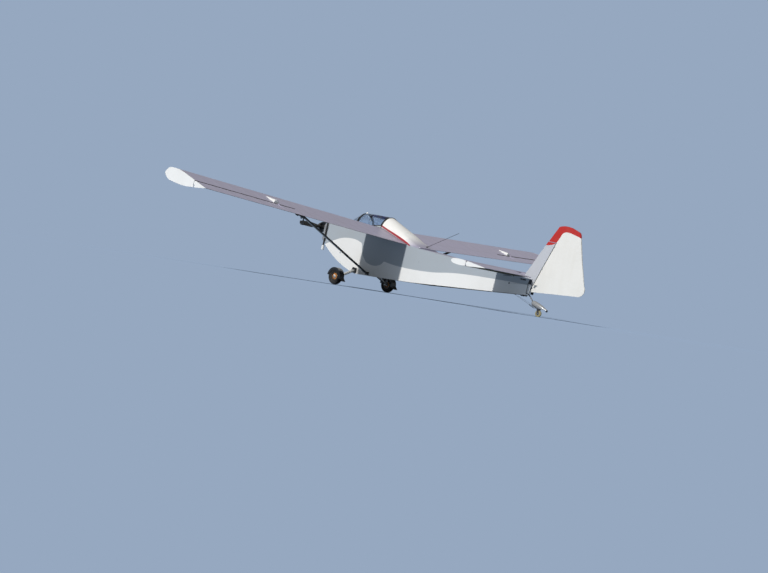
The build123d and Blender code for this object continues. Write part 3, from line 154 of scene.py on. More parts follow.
class Finish:
    # one Principled material with the places that its patterns are measured in
    def __init__(self, name):
        self.material = bpy.data.materials.new(name)
        self.material.use_nodes = True
        self.tree = self.material.node_tree
        self.tree.nodes.clear()
        output = put(self.tree, "OutputMaterial")
        self.shader = put(self.tree, "BsdfPrincipled")
        self.tree.links.new(self.shader.outputs[0], output.inputs[0])
        coords = put(self.tree, "TexCoord")
        self.place = coords.outputs["Object"]
        self.level = put(self.tree, "Mapping", {"Vector": self.place, "Location": parkedShift,
            "Rotation": (0, -parkedAngle, 0)}, vector_type="TEXTURE").outputs[0]
        self.x, self.y, self.z = self.parts(self.level)
        self.nx, self.ny, self.nz = self.parts(coords.outputs["Normal"])

    def parts(self, vector):
        return [Field(self.tree, part) for part in put(self.tree, "SeparateXYZ", {0: vector}).outputs]

    def set(self, **values):
        names = {"colour": "Base Color", "roughness": "Roughness", "metallic": "Metallic",
            "coat": "Coat Weight", "coatRoughness": "Coat Roughness", "specular": "Specular IOR Level",
            "sheen": "Sheen Weight", "transmission": "Transmission Weight", "ior": "IOR",
            "normal": "Normal", "alpha": "Alpha"}
        for key, value in values.items():
            feed(self.tree, self.shader.inputs[names[key]], value)

    def bump(self, height, distance, strength=1.0):
        made = put(self.tree, "Bump", {"Strength": strength, "Distance": distance, "Height": height})
        self.set(normal=made.outputs[0])

    def speckle(self, scale, detail=3.0, roughness=0.55, place=None, stretch=None):
        place = place or self.place
        if stretch:
            place = put(self.tree, "Mapping", {"Vector": place, "Scale": stretch}).outputs[0]
        made = put(self.tree, "TexNoise", {"Vector": place, "Scale": scale, "Detail": detail,
            "Roughness": roughness})
        return Field(self.tree, made.outputs[0])

    def wave(self, scale, direction, **values):
        made = put(self.tree, "TexWave", {"Vector": self.level, "Scale": scale, **values},
            bands_direction=direction)
        return Field(self.tree, made.outputs[1])

    def edge(self, points, reach):
        # a painted line given as height over station: 1 above it, 0 below; points run forward
        lowX, highX, lowZ, highZ = reach
        curve = put(self.tree, "FloatCurve", {"Factor": 1.0, "Value": self.x.rise(lowX, highX)})
        line = curve.mapping.curves[0]
        spots = [((x - lowX) / (highX - lowX), (z - lowZ) / (highZ - lowZ)) for x, z in points]
        line.points[0].location, line.points[1].location = spots[0], spots[-1]
        for spot in spots[1:-1]:
            line.points.new(*spot)
        for point in line.points:
            point.handle_type = "AUTO"
        curve.mapping.update()
        height = Field(self.tree, curve.outputs[0]).spread(0.0, 1.0, lowZ, highZ)
        return (self.z - height).rise(-0.0015, 0.0015)

    def worn(self, colour, amount=0.12, scale=3.0):
        # slow patches of dirt and fine mottling over a colour
        dirt = self.speckle(scale, 4.0).rise(0.48, 0.78) * amount
        shade = self.speckle(scale * 30, 2.0).rise(0.35, 0.75) * (amount * 0.35)
        return shade.mix(dirt.mix(colour, colours["dust"]), (0.05, 0.05, 0.05, 1))

    def uneven(self, low, high, scale=8.0):
        return self.speckle(scale).spread(0.3, 0.7, low, high)


# Paint scheme of the hull: grey over white, with a scallop at the nose and a round one at the wing
hullLook = {
    "reach": (-2.8, 2.2, -0.7, 0.1),
    "boundary": rows("-2800 -195, -2716 -200, -1983 -236, -1240 -293, -578 -395, 75 -426, 380 -412, "
                     "451 -404, 500 -448, 590 -502, 721 -528, 860 -512, 980 -436, 1060 -335, "
                     "1100 -230, 1126 -161, 1190 -140, 1254 -125, 1376 -114, 1540 -125, 1654 -147, "
                     "1807 -202, 2093 -347, 2200 -400"),
    "wallInside": 0.2775, "cabinFrom": 0.752,
}


def hullPaint():
    finish = Finish("hullPaint")
    side = finish.edge(hullLook["boundary"], hullLook["reach"]).mix(colours["hullWhite"], colours["hullGrey"])
    under = (-finish.nz).rise(0.42, 0.46)
    cabin = finish.x.rise(hullLook["cabinFrom"], hullLook["cabinFrom"] + 0.002)
    top = finish.nz.rise(0.6, 0.64) * (1.0 - cabin)
    # downward faces get a dark olive that is partly the belly's paint and partly painted shade
    colour = under.mix(top.mix(side, colours["deckLavender"]), colours["underOliveAndPaintedShade"])
    within = abs(finish.y).near(hullLook["wallInside"] - 0.001, hullLook["wallInside"])
    inside = cabin * within * finish.nz.rise(-0.3, -0.28)
    wood = finish.wave(9.0, "Z", Distortion=5.0, Detail=3.0).mix(colours["plywood"], colours["grain"])
    finish.set(colour=finish.worn(inside.mix(colour, wood), 0.1, 2.2), coatRoughness=0.18, specular=0.3,
               roughness=finish.uneven(0.3, 0.42) + under * 0.5, coat=(1.0 - under) * 0.25)
    finish.bump(finish.speckle(3.5, 2.0) + finish.speckle(260.0, 1.0) * 0.015, 0.004, 0.5)
    return finish


# Covering of the wing, tailplane and their surfaces: lavender above, a dark olive below that is partly paint
# and partly painted shade, white tips
surfaceLooks = {
    "wingCover": {"tip": 5.1938, "dihedral": 0.0419, "rib": 0.305, "spars": (0.3, 0.8), "tape": 0.011},
    "tailCover": {"tip": 1.4985, "dihedral": 0.0, "rib": 0.25, "spars": (-2.3, -2.06), "tape": 0.009},
}


def coverPaint(name):
    look = surfaceLooks[name]
    finish = Finish(name)
    under = (-finish.nz).rise(0.1, 0.14)
    out = abs(finish.y)
    tip = (out + finish.z * look["dihedral"]).rise(look["tip"] - 0.0008, look["tip"])
    # ribs and spars show through the covering as faint taped lines
    tape = (look["tape"], look["tape"] + 0.002)
    phase = (out - 0.29).fold(look["rib"] / 2)
    lines = phase.near(*tape)
    for station in look["spars"]:
        lines = lines.most(abs(finish.x - station).near(*tape))
    # downward faces get a dark olive that is partly the covering's paint and partly painted shade
    colour = (lines * 0.1).mix(under.mix(colours["deckLavender"], colours["underOliveAndPaintedShade"]),
        (0.02, 0.02, 0.02, 1))
    finish.set(colour=finish.worn(tip.mix(colour, colours["tipWhite"]), 0.09, 1.7), coatRoughness=0.25,
               specular=0.22, roughness=finish.uneven(0.34, 0.46) + under * 0.48, coat=(1.0 - under) * 0.12)
    crown = phase.near(0.0, look["rib"] / 2) ** 2.0 * 1.6
    finish.bump(crown + lines * 0.35 + finish.wave(700.0, "X") * 0.02, 0.0025, 0.6)
    return finish


finLook = {
    "reach": (-3.6, -2.7, 0.4, 0.9),
    "boundary": rows("-3600 715, -3436 757, -3300 790, -3190 808, -3130 803, -3085 772, -3050 700, "
                     "-3022 640, -2985 588, -2940 560, -2870 540, -2800 526, -2700 520"),
    "firstRib": 0.02, "ribStep": 0.26,
}


def finPaint(name, base):
    finish = Finish(name)
    colour = finish.edge(finLook["boundary"], finLook["reach"]).mix(base, colours["finRed"])
    streaks = finish.speckle(1.6, 4.0, 0.5, finish.level, (7.0, 7.0, 0.8))
    colour = (streaks.rise(0.48, 0.8) * 0.07).mix(colour, colours["aged"])
    finish.set(colour=finish.worn(colour, 0.07, 2.4), roughness=finish.uneven(0.34, 0.46), coat=0.15,
               coatRoughness=0.22)
    ribs = (finish.z - finLook["firstRib"]).fold(finLook["ribStep"] / 2).near(0.008, 0.011)
    finish.bump(ribs + finish.speckle(3.0) * 1.5, 0.0008, 0.45)
    return finish


deckLook = {
    "reach": (-0.4, 0.8, -0.1, 0.4),
    "low": rows("-400 -104, -85 -16, -62 -8, 695 220, 800 252"),
    "high": rows("-400 -76, -85 6, -62 20, 695 250, 800 282"),
    "stripeFrom": -0.075, "paintBoundaryAndShadeBand": (-0.2, 0.1),
}


def deckPaint():
    finish = Finish("deckPaint")
    overStripe = finish.edge(deckLook["high"], deckLook["reach"])
    overLow = finish.edge(deckLook["low"], deckLook["reach"])
    stripe = (overLow - overStripe) * finish.x.rise(deckLook["stripeFrom"], deckLook["stripeFrom"] + 0.003)
    # white ahead and lavender behind is two-tone paint; the soft band between them is painted shade
    upper = finish.x.rise(*deckLook["paintBoundaryAndShadeBand"]).mix(colours["deckLavender"], colours["hullWhite"])
    colour = overStripe.mix(colours["hullGrey"], upper)
    colour = (stripe * abs(finish.ny).rise(0.3, 0.34)).mix(colour, colours["stripeRed"])
    colour = finish.nx.rise(0.8, 0.82).mix(colour, colours["bulkhead"])
    finish.set(colour=finish.worn(colour, 0.07, 3.0), roughness=finish.uneven(0.26, 0.38), coat=0.35,
               coatRoughness=0.15)
    finish.bump(finish.speckle(5.0), 0.002, 0.4)
    return finish


def enamel(name, colour, roughness=0.35, wear=0.1, coat=0.2, scale=6.0):
    finish = Finish(name)
    finish.set(colour=finish.worn(tint(colour), wear, scale), coat=coat, coatRoughness=0.2,
               roughness=finish.uneven(roughness - 0.06, roughness + 0.08, 14.0))
    finish.bump(finish.speckle(180.0, 2.0), 0.0006, 0.3)
    return finish


def bareMetal(name, colour, roughness, brushed, wear):
    finish = Finish(name)
    stretch = [0.6 if axis == brushed else 14.0 for axis in "XYZ"]
    lines = finish.speckle(22.0, stretch=stretch)
    stain = finish.speckle(16.0, 4.0).rise(0.5, 0.78)
    finish.set(colour=(stain * (wear * 3)).mix(tint(colour), colours["soot"]), metallic=0.9,
               roughness=lines.spread(0.3, 0.7, roughness - 0.08, roughness + 0.12))
    finish.bump(lines, 0.0008, 0.4)
    return finish


def legPaint():
    # grey spring leg, black at its clamp, and black on its downward faces as painted shade
    finish = Finish("legPaint")
    clampAndPaintedShade = abs(finish.y).near(0.3045, 0.3055).most((-finish.nz).rise(0.3, 0.4))
    finish.set(colour=finish.worn(clampAndPaintedShade.mix(colours["leg"], colours["trimBlack"]), 0.12, 9.0),
               roughness=finish.uneven(0.3, 0.46, 12.0), metallic=0.25)
    finish.bump(finish.speckle(120.0, 2.0), 0.0006, 0.4)
    return finish


def rubber(name, colour, dusty=0.25):
    finish = Finish(name)
    dust = finish.speckle(46.0, 4.0).rise(0.36, 0.8) * (dusty * 0.55)
    finish.set(colour=dust.mix(tint(colour), colours["dust"]), roughness=finish.uneven(0.62, 0.85, 30.0),
               specular=0.35)
    finish.bump(finish.speckle(420.0, 2.0), 0.0008, 0.5)
    return finish


treadLook = {"axle": (1.159, 0.774, -0.879), "from": 0.15, "pitch": 0.0075, "sipes": 60}


def treadRubber():
    # main tyres: grooves round the tread and fine sipes across it
    look = treadLook
    finish = rubber("treadRubber", (28, 28, 30))
    across = abs(finish.y) - look["axle"][1]
    dx, dz = finish.x - look["axle"][0], finish.z - look["axle"][2]
    radius = finish.x.reckon("SQRT", dx * dx + dz * dz)
    turn = finish.x.reckon("ARCTAN2", dz, dx)
    groove = (across + look["pitch"]).fold(look["pitch"]).near(0.0012, 0.002)
    sipe = (turn * (look["sipes"] / math.tau) + across * 40.0).fold(0.5).near(0.06, 0.12)
    cut = radius.rise(look["from"] - 0.001, look["from"] + 0.001) * groove.most(sipe)
    finish.bump(finish.speckle(420.0, 2.0) * 0.12 - cut, 0.004, 0.9)
    return finish


def acrylic(name, colour, strip=None):
    finish = Finish(name)
    colour = tint(colour)
    if strip:
        # a navy strip along the crown, a painted reflection of the sky, with a soft front end and soft sides
        side = abs(finish.y) + finish.speckle(9.0) * 0.02
        inside = side.near(strip["half"], strip["half"] + 0.012)
        back = finish.x.near(strip["front"], strip["front"] + 0.02)
        colour = (inside * back).mix(colour, tint(strip["colour"]))
    haze = finish.speckle(14.0, 4.0).rise(0.45, 0.8)
    finish.set(colour=colour, roughness=haze.spread(0.0, 1.0, 0.02, 0.07), transmission=1.0, ior=1.2,
        alpha=0.78)
    return finish


def cloth(name, colour, thread, sheen):
    # a plain weave: two crossed waves
    finish = Finish(name)
    full = tint(colour)
    tone = finish.speckle(24.0, 4.0).rise(0.3, 0.75)
    finish.set(colour=tone.mix(full, (*[part * 0.6 for part in full[:3]], 1)), roughness=0.88, sheen=sheen,
               specular=0.2)
    finish.bump(finish.wave(thread, "X") * finish.wave(thread, "Y"), 0.0012, 0.35)
    return finish


# Plain finishes: name, colour, roughness, wear, coat, scale of the wear
enamels = {
    "white": ("whiteEnamel", "tipWhite"), "grey": ("greyEnamel", "hullGrey"),
    "stripe": ("redEnamel", "stripeRed"),
    "black": ("blackEnamel", "trimBlack", 0.3, 0.06, 0.4),
    "strut": ("strutEnamel", "strutOlive", 0.28, 0.08, 0.5),
    "propeller": ("propellerBlack", (24, 24, 26), 0.32, 0.05, 0.5),
    "cowl": ("cowlGrey", (146, 148, 150), 0.3, 0.08, 0.5, 9.0),
    "crankcase": ("crankcaseBlack", (44, 44, 46), 0.5, 0.2, 0.0, 18.0),
    "silencer": ("silencerWhite", (226, 226, 224), 0.26, 0.1, 0.6, 20.0),
    "exhaust": ("exhaustBlack", (30, 28, 27), 0.5, 0.22, 0.0, 22.0),
    "soot": ("sootBlack", "soot", 0.8, 0.1, 0.0),
    "housing": ("housingGrey", (142, 143, 143), 0.26, 0.1, 0.6, 12.0),
    "rim": ("rimDark", (46, 44, 42), 0.34, 0.16, 0.4, 14.0),
    "orange": ("hubOrange", (196, 124, 44), 0.32, 0.14, 0.3, 20.0),
    "panel": ("panelBlack", (36, 36, 38), 0.55, 0.08, 0.0),
    "seatShell": ("seatShell", (96, 84, 70), 0.5, 0.12, 0.0),
    "dialFace": ("dialFace", (22, 22, 24), 0.6, 0.02, 0.0),
    "tick": ("dialMarks", (228, 226, 214), 0.5, 0.02, 0.0),
    "wood": ("spruce", (182, 150, 104), 0.6, 0.16, 0.0),
}
finishes = {key: enamel(*row) for key, row in enamels.items()}
finishes.update({
    "hull": hullPaint(), "wing": coverPaint("wingCover"), "tail": coverPaint("tailCover"),
    "deck": deckPaint(),
    "fin": finPaint("finPaint", colours["finGrey"]),
    "rudder": finPaint("rudderPaint", colours["rudderWhite"]),
    "castAluminium": bareMetal("castAluminium", (150, 148, 142), 0.46, "Z", 0.22),
    "steel": bareMetal("plainSteel", (176, 176, 174), 0.28, "Z", 0.08),
    "darkSteel": bareMetal("springSteel", (96, 96, 98), 0.36, "X", 0.1),
    "leg": legPaint(), "tread": treadRubber(), "tyre": rubber("tyreRubber", (28, 28, 30)),
    "tailTyre": rubber("tailTyreRubber", (146, 136, 98), 0.15),
    "glass": acrylic("clearAcrylic", (238, 243, 248)),
    # the canopy glass carries the navy painted sky reflection along its crown
    "lid": acrylic("acrylicPaintedSkyReflection", (226, 234, 244), {"half": 0.165, "front": 1.19, "colour": (14, 30, 96)}),
    "harness": cloth("harnessWebbing", (38, 44, 62), 520.0, 0.2),
    "cushion": cloth("cushionCloth", (84, 82, 78), 420.0, 0.35),
    "piping": cloth("pipingCloth", (40, 40, 42), 700.0, 0.2),
})
dressing = {
    "hull": "side_panel_port side_panel_starboard belly_panel aft_fuselage firewall",
    "wing": "wing_port wing_starboard aileron_port aileron_starboard", "tail": "stabiliser elevator",
    "fin": "fin",
    "rudder": "rudder", "deck": "turtle_deck", "grey": "nose_deck coaming_port coaming_starboard",
    "black": "windscreen_bow canopy_frame mudguard_port mudguard_starboard antenna pitot_mast rudder_pedals"
             " control_stick",
    "strut": "lift_strut_port lift_strut_starboard", "white": "rod_fairing_port rod_fairing_starboard",
    "glass": "windscreen", "lid": "canopy_glass", "crankcase": "engine_block",
    "castAluminium": "engine_heads",
    "cowl": "nose_cowl", "silencer": "silencer", "exhaust": "exhaust_pipe", "propeller": "spinner propeller",
    "leg": "gear_leg_port gear_leg_starboard", "tread": "main_tyre_port main_tyre_starboard",
    "rim": "main_rim_port main_rim_starboard", "housing": "tail_housing",
    "darkSteel": "tail_spring tail_fork",
    "tailTyre": "tail_wheel", "panel": "instrument_panel", "seatShell": "seat_pan",
}
for key, names in dressing.items():
    for name in names.split():
        for place in nodes[name].material_slots:
            place.material = finishes[key].material
print("stage: paint on the frame")


ahead, port, upward = Vector((1, 0, 0)), Vector((0, 1, 0)), Vector((0, 0, 1))
bothSides = (("Port", 1), ("Starboard", -1))


def ring(count):
    return [math.tau * i / count for i in range(count)]


def out(turn, right=port, up=upward):
    return right * math.cos(turn) + up * math.sin(turn)


def steps(low, high, count):
    return [low + (high - low) * i / count for i in range(count + 1)]


def between(start, end, count):
    return [start.lerp(end, i / count) for i in range(count + 1)]


def bent(start, end, rise, count=12):
    # a path that bows away from the straight line by rise
    line = between(Vector(start), Vector(end), count)
    return [spot + Vector(rise) * math.sin(math.pi * i / count) for i, spot in enumerate(line)]


def headings(spots):
    last = len(spots) - 1
    return [(spots[min(i + 1, last)] - spots[max(i - 1, 0)]).normalized() for i in range(last + 1)]


def placed(name, data):
    made = bpy.data.objects.new(name, data)
    bpy.context.scene.collection.objects.link(made)
    return made


def baked(piece):
    # what the modifiers of a piece make of it, as a plain mesh
    bpy.context.view_layer.update()
    return bpy.data.meshes.new_from_object(piece.evaluated_get(bpy.context.evaluated_depsgraph_get()))


def seat(name, data, body, sharp=35.0, bend=None):
    # parks a finished mesh and lets it ride on its body; a piece given a bend is left in place unattached.
    # The far body and the bend's two ends in bend are not used
    data.transform(parked)
    data.shade_smooth()
    data.set_sharp_from_angle(angle=math.radians(sharp))
    piece = placed(name, data)
    if bend:
        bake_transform(piece)
    else:
        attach(piece, body)
    return piece


# Mesh building: a kit gathers the small forms of one assembly, each with its own finish
class Kit:
    def __init__(self, name, body="airframe"):
        self.name, self.body, self.mesh, self.used = name, body, bmesh.new(), []

    def rings(self, finish, loops, closed=False):
        # skins a row of loops; closed joins the last loop to the first, else both ends are capped
        if finish not in self.used:
            self.used.append(finish)
        made = [[self.mesh.verts.new(spot) for spot in loop] for loop in loops]
        faces = []
        for low, high in zip(made, made[1:] + made[:closed]):
            for i in range(len(low)):
                j = (i + 1) % len(low)
                faces.append(self.mesh.faces.new((low[i], low[j], high[j], high[i])))
        if not closed:
            faces += [self.mesh.faces.new(reversed(made[0])), self.mesh.faces.new(made[-1])]
        for face in faces:
            face.material_index = self.used.index(finish)

    def tube(self, finish, points, radius, sides=14, flat=1.0, across=None):
        # a bar along a path. flat below 1 thins it across its second axis; radius may change by point
        points = [Vector(spot) for spot in points]
        radii = radius if isinstance(radius, list) else [radius] * len(points)
        side = across or (points[1] - points[0]).orthogonal()
        loops = []
        for spot, along, reach in zip(points, headings(points), radii):
            side = (side - along * side.dot(along)).normalized()
            up = along.cross(side) * flat
            loops.append([spot + out(math.tau * (k + 0.5) / sides, side, up) * reach for k in range(sides)])
        self.rings(finish, loops)

    def strap(self, finish, points, width, thickness, across):
        # flat webbing with rounded selvedges
        half, edge = width / 2, thickness / 2
        outline = [(half - edge, -edge), (half, 0), (half - edge, edge), (edge - half, edge), (-half, 0),
                   (edge - half, -edge)]
        loops = []
        for spot, along in zip(points, headings(points)):
            side = (across - along * across.dot(along)).normalized()
            loops.append([spot + side * a + along.cross(side) * b for a, b in outline])
        self.rings(finish, loops)

    def lathe(self, finish, origin, axis, profile, sides=32, hollow=False):
        # profile: place along the axis, radius
        axis = Vector(axis).normalized()
        side = axis.orthogonal().normalized()
        up = axis.cross(side)
        profile = rows(profile) if isinstance(profile, str) else profile
        self.rings(finish, [[Vector(origin) + axis * along + out(turn, side, up) * radius
            for turn in ring(sides)] for along, radius in profile], hollow)

    def plate(self, finish, outline, origin, right, up, thickness, soften=0.0):
        # a flat shape in the plane of right and up, thickened evenly both ways
        right, up = right.normalized(), up.normalized()
        half = right.cross(up).normalized() * thickness / 2
        outline = rows(outline) if isinstance(outline, str) else outline
        flat = [Vector(origin) + right * a + up * b for a, b in outline]
        layers = [(flat, -half), (flat, half)]
        if soften:
            middle = sum(flat, Vector()) / len(flat)
            inner = [spot + (middle - spot).normalized() * soften for spot in flat]
            edge = half * max(1 - 2 * soften / thickness, 0.1)
            layers = [(inner, -half), (flat, -edge), (flat, edge), (inner, half)]
        self.rings(finish, [[spot + step for spot in layer] for layer, step in layers])

    def block(self, finish, centre, size, soften=0.004, lean=0.0):
        # a box with rounded upright edges and softened faces; lean turns it about the y axis
        halfX, halfY = size[0] / 2, size[1] / 2
        corner = min(soften * 2, halfX * 0.6, halfY * 0.6)
        outline = []
        for signX, signY, start in ((1, 1, 0), (-1, 1, 90), (-1, -1, 180), (1, -1, 270)):
            for step in range(4):
                angle = math.radians(start + step * 30)
                outline.append((signX * (halfX - corner) + corner * math.cos(angle),
                    signY * (halfY - corner) + corner * math.sin(angle)))
        right = Matrix.Rotation(lean, 3, "Y") @ ahead
        self.plate(finish, outline, centre, right, port, size[2], min(soften, size[2] * 0.3))

    def bolt(self, spot, axis, radius, height):
        # hexagon head on a washer
        axis = Vector(axis).normalized()
        self.lathe("steel", spot, axis, [(0, radius * 1.5), (height * 0.25, radius * 1.5)], 20)
        self.lathe("steel", Vector(spot) + axis * height * 0.25, axis,
                   [(0, radius), (height * 0.6, radius), (height * 0.75, radius * 0.82)], 6)

    def coil(self, finish, start, end, radius, wire, turns):
        start, end = Vector(start), Vector(end)
        side = (end - start).orthogonal().normalized()
        up = (end - start).normalized().cross(side)
        path = between(start, end, turns * 12)
        self.tube(finish, [spot + out(math.tau * i / 12, side, up) * radius for i, spot in enumerate(path)],
            wire, 6)

    def done(self, slotName, bend=None):
        bmesh.ops.recalc_face_normals(self.mesh, faces=self.mesh.faces)
        data = bpy.data.meshes.new(self.name)
        self.mesh.to_mesh(data)
        self.mesh.free()
        for key in self.used:
            data.materials.append(finishes[key].material)
        seat(self.name, data, self.body, bend=bend)

    def pair(self, slotName):
        other = Kit(self.name.replace("Port", "Starboard"), self.body.replace("port", "starboard"))
        other.mesh, other.used = self.mesh.copy(), self.used
        for vert in other.mesh.verts:
            vert.co.y = -vert.co.y
        self.done(slotName)
        other.done(slotName)


def rayTree(data, place):
    return BVHTree.FromPolygons([place @ vert.co for vert in data.vertices],
        [tuple(face.vertices) for face in data.polygons])


# Skins of the frame in level coordinates, for seating pieces on them
skins = {}


def touch(name, origin, direction):
    # where a line from origin first meets a skin, and the skin's outward normal there
    if name not in skins:
        skins[name] = rayTree(nodes[name].data, parked.inverted() @ nodes[name].matrix_world)
    direction = Vector(direction).normalized()
    spot, normal, _, _ = skins[name].ray_cast(Vector(origin), direction)
    if spot is None:
        return None
    return spot, (-normal if normal.dot(direction) > 0 else normal)


def trace(name, points):
    # points: (origin, direction) pairs; those that miss the skin are passed over
    return [found for found in (touch(name, *point) for point in points) if found]


def inward(x, turns, height, reach=0.6):
    # lines towards the middle of a hoop at x
    return [(Vector((x, 0, height)) + out(turn) * reach, -out(turn)) for turn in turns]


# Repeated forms grow from Geometry Nodes trees, given as inputs with defaults, nodes, and links between them
def socketKey(word):
    return int(word) if word.isdigit() else word


def growthTree(name, inputs, kinds, links):
    tree = bpy.data.node_groups.new(name, "GeometryNodeTree")
    sockets = {}
    for label, kind, value in (("Geometry", "Geometry", None), *inputs, ("Finish", "Material", None)):
        made = tree.interface.new_socket(label, in_out="INPUT", socket_type="NodeSocket" + kind)
        if value is not None:
            made.default_value = value
        sockets[label] = made.identifier
    tree.interface.new_socket("Geometry", in_out="OUTPUT", socket_type="NodeSocketGeometry")
    parts = {}
    for key, (kind, settings) in {**commonNodes, **kinds}.items():
        parts[key] = tree.nodes.new(kind)
        for label, value in settings.items():
            if hasattr(parts[key], label):
                setattr(parts[key], label, value)
            else:
                parts[key].inputs[label].default_value = value
    for link in (links + ", entry.Finish > cover.Material, cover.0 > leave.0").split(", "):
        (source, output), (target, entry) = (end.split(".") for end in link.split(" > "))
        tree.links.new(parts[source].outputs[socketKey(output)], parts[target].inputs[socketKey(entry)])
    return tree, sockets


commonNodes = {
    "entry": ("NodeGroupInput", {}), "leave": ("NodeGroupOutput", {}),
    "curve": ("GeometryNodeMeshToCurve", {}),
    "place": ("GeometryNodeInstanceOnPoints", {}), "real": ("GeometryNodeRealizeInstances", {}),
    "cover": ("GeometryNodeSetMaterial", {}),
}
trees = {
    # screws, rivets and stitches: a head at each step of a path
    "row": growthTree(
        "headRow",
        (("Spacing", "Float", 0.05), ("Head length", "Float", 0.004), ("Head width", "Float", 0.004),
         ("Head height", "Float", 0.002)),
        {"sample": ("GeometryNodeResampleCurve", {"mode": "LENGTH"}),
         "head": ("GeometryNodeMeshUVSphere", {"Segments": 10, "Rings": 6}),
         "facing": ("GeometryNodeInputNamedAttribute", {"data_type": "FLOAT_VECTOR", "Name": "facing"}),
         "upright": ("FunctionNodeAlignRotationToVector", {"axis": "Z"}),
         "turned": ("FunctionNodeAlignRotationToVector", {"axis": "X", "pivot_axis": "Z"}),
         "size": ("ShaderNodeCombineXYZ", {}), "along": ("GeometryNodeInputTangent", {})},
        "entry.Geometry > curve.0, curve.0 > sample.Curve, entry.Spacing > sample.Length, "
        "sample.0 > place.Points, head.Mesh > place.Instance, entry.Head length > size.0, "
        "entry.Head width > size.1, entry.Head height > size.2, size.0 > place.Scale, "
        "facing.Attribute > upright.Vector, upright.0 > turned.Rotation, along.0 > turned.Vector, "
        "turned.0 > place.Rotation, place.0 > real.0, real.0 > cover.Geometry"),
    # tapes over the ribs: one rib's outline, repeated along the span as flat strips
    "tape": growthTree(
        "ribTape",
        (("Count", "Int", 8), ("Step", "Vector", (0, 0.3, 0)), ("Width", "Float", 0.02),
         ("Thickness", "Float", 0.001)),
        {"stations": ("GeometryNodeMeshLine", {}), "strip": ("GeometryNodeCurveToMesh", {}),
         "upright": ("GeometryNodeSetCurveNormal", {"mode": "Z_UP"}),
         "section": ("GeometryNodeCurvePrimitiveQuadrilateral", {})},
        "entry.Count > stations.Count, entry.Step > stations.Offset, stations.0 > place.Points, "
        "entry.Geometry > place.Instance, place.0 > real.0, real.0 > curve.0, curve.0 > upright.0, "
        "upright.0 > strip.Curve, entry.Width > section.Width, entry.Thickness > section.Height, "
        "section.0 > strip.Profile Curve, strip.0 > cover.Geometry"),
}


def grown(name, kind, paths, values, body, mirror=False):
    # paths: lists of (spot, facing). The tree's result becomes one plain mesh
    spots, edges = [], []
    for path in paths:
        edges += [(i, i + 1) for i in range(len(spots), len(spots) + len(path) - 1)]
        spots += path
    data = bpy.data.meshes.new(name + "Path")
    data.from_pydata([spot for spot, _ in spots], edges, [])
    layer = data.attributes.new("facing", "FLOAT_VECTOR", "POINT")
    for i, (_, facing) in enumerate(spots):
        layer.data[i].vector = facing
    holder = placed(name + "Path", data)
    tree, sockets = trees[kind]
    modifier = holder.modifiers.new("grow", "NODES")
    modifier.node_group = tree
    for key, value in values.items():
        modifier[sockets[key]] = value
    made = baked(holder)
    holder.modifiers.remove(modifier)
    bpy.data.objects.remove(holder)
    if mirror:
        shape = bmesh.new()
        shape.from_mesh(made)
        copies = bmesh.ops.duplicate(shape, geom=shape.verts[:] + shape.edges[:] + shape.faces[:])["geom"]
        faces = [item for item in copies if isinstance(item, bmesh.types.BMFace)]
        for vert in {vert for face in faces for vert in face.verts}:
            vert.co.y = -vert.co.y
        bmesh.ops.reverse_faces(shape, faces=faces)
        shape.to_mesh(made)
        shape.free()
    made.name = name
    seat(name, made, body)


# Engine bay: plugs, leads, coils, carburettor and filter, manifold, silencer bands, bright pipe outlet
engineLook = {
    "heads": (2.252, 2.348), "headTop": 0.24, "coils": rows("2035 30 158, 2035 -170 148"), "lead": 0.0042,
    "plugY": -0.087, "plugDrops": (0.02, 0.062), "fan": (2.462, 0, 0.15), "filter": (2.118, -0.06, 0.178),
    "filterRadius": 0.044, "filterLength": 0.088, "carburettorX": 2.155, "pipe": (2.132, 0.296),
    "pipeEnd": -0.469, "silencer": (0.15, 0.1615), "silencerBands": (1.875, 2.03), "hub": -0.028,
    "mounts": rows("2135 -95 -118, 2135 95 -118, 2135 -95 32, 2135 95 32"),
}


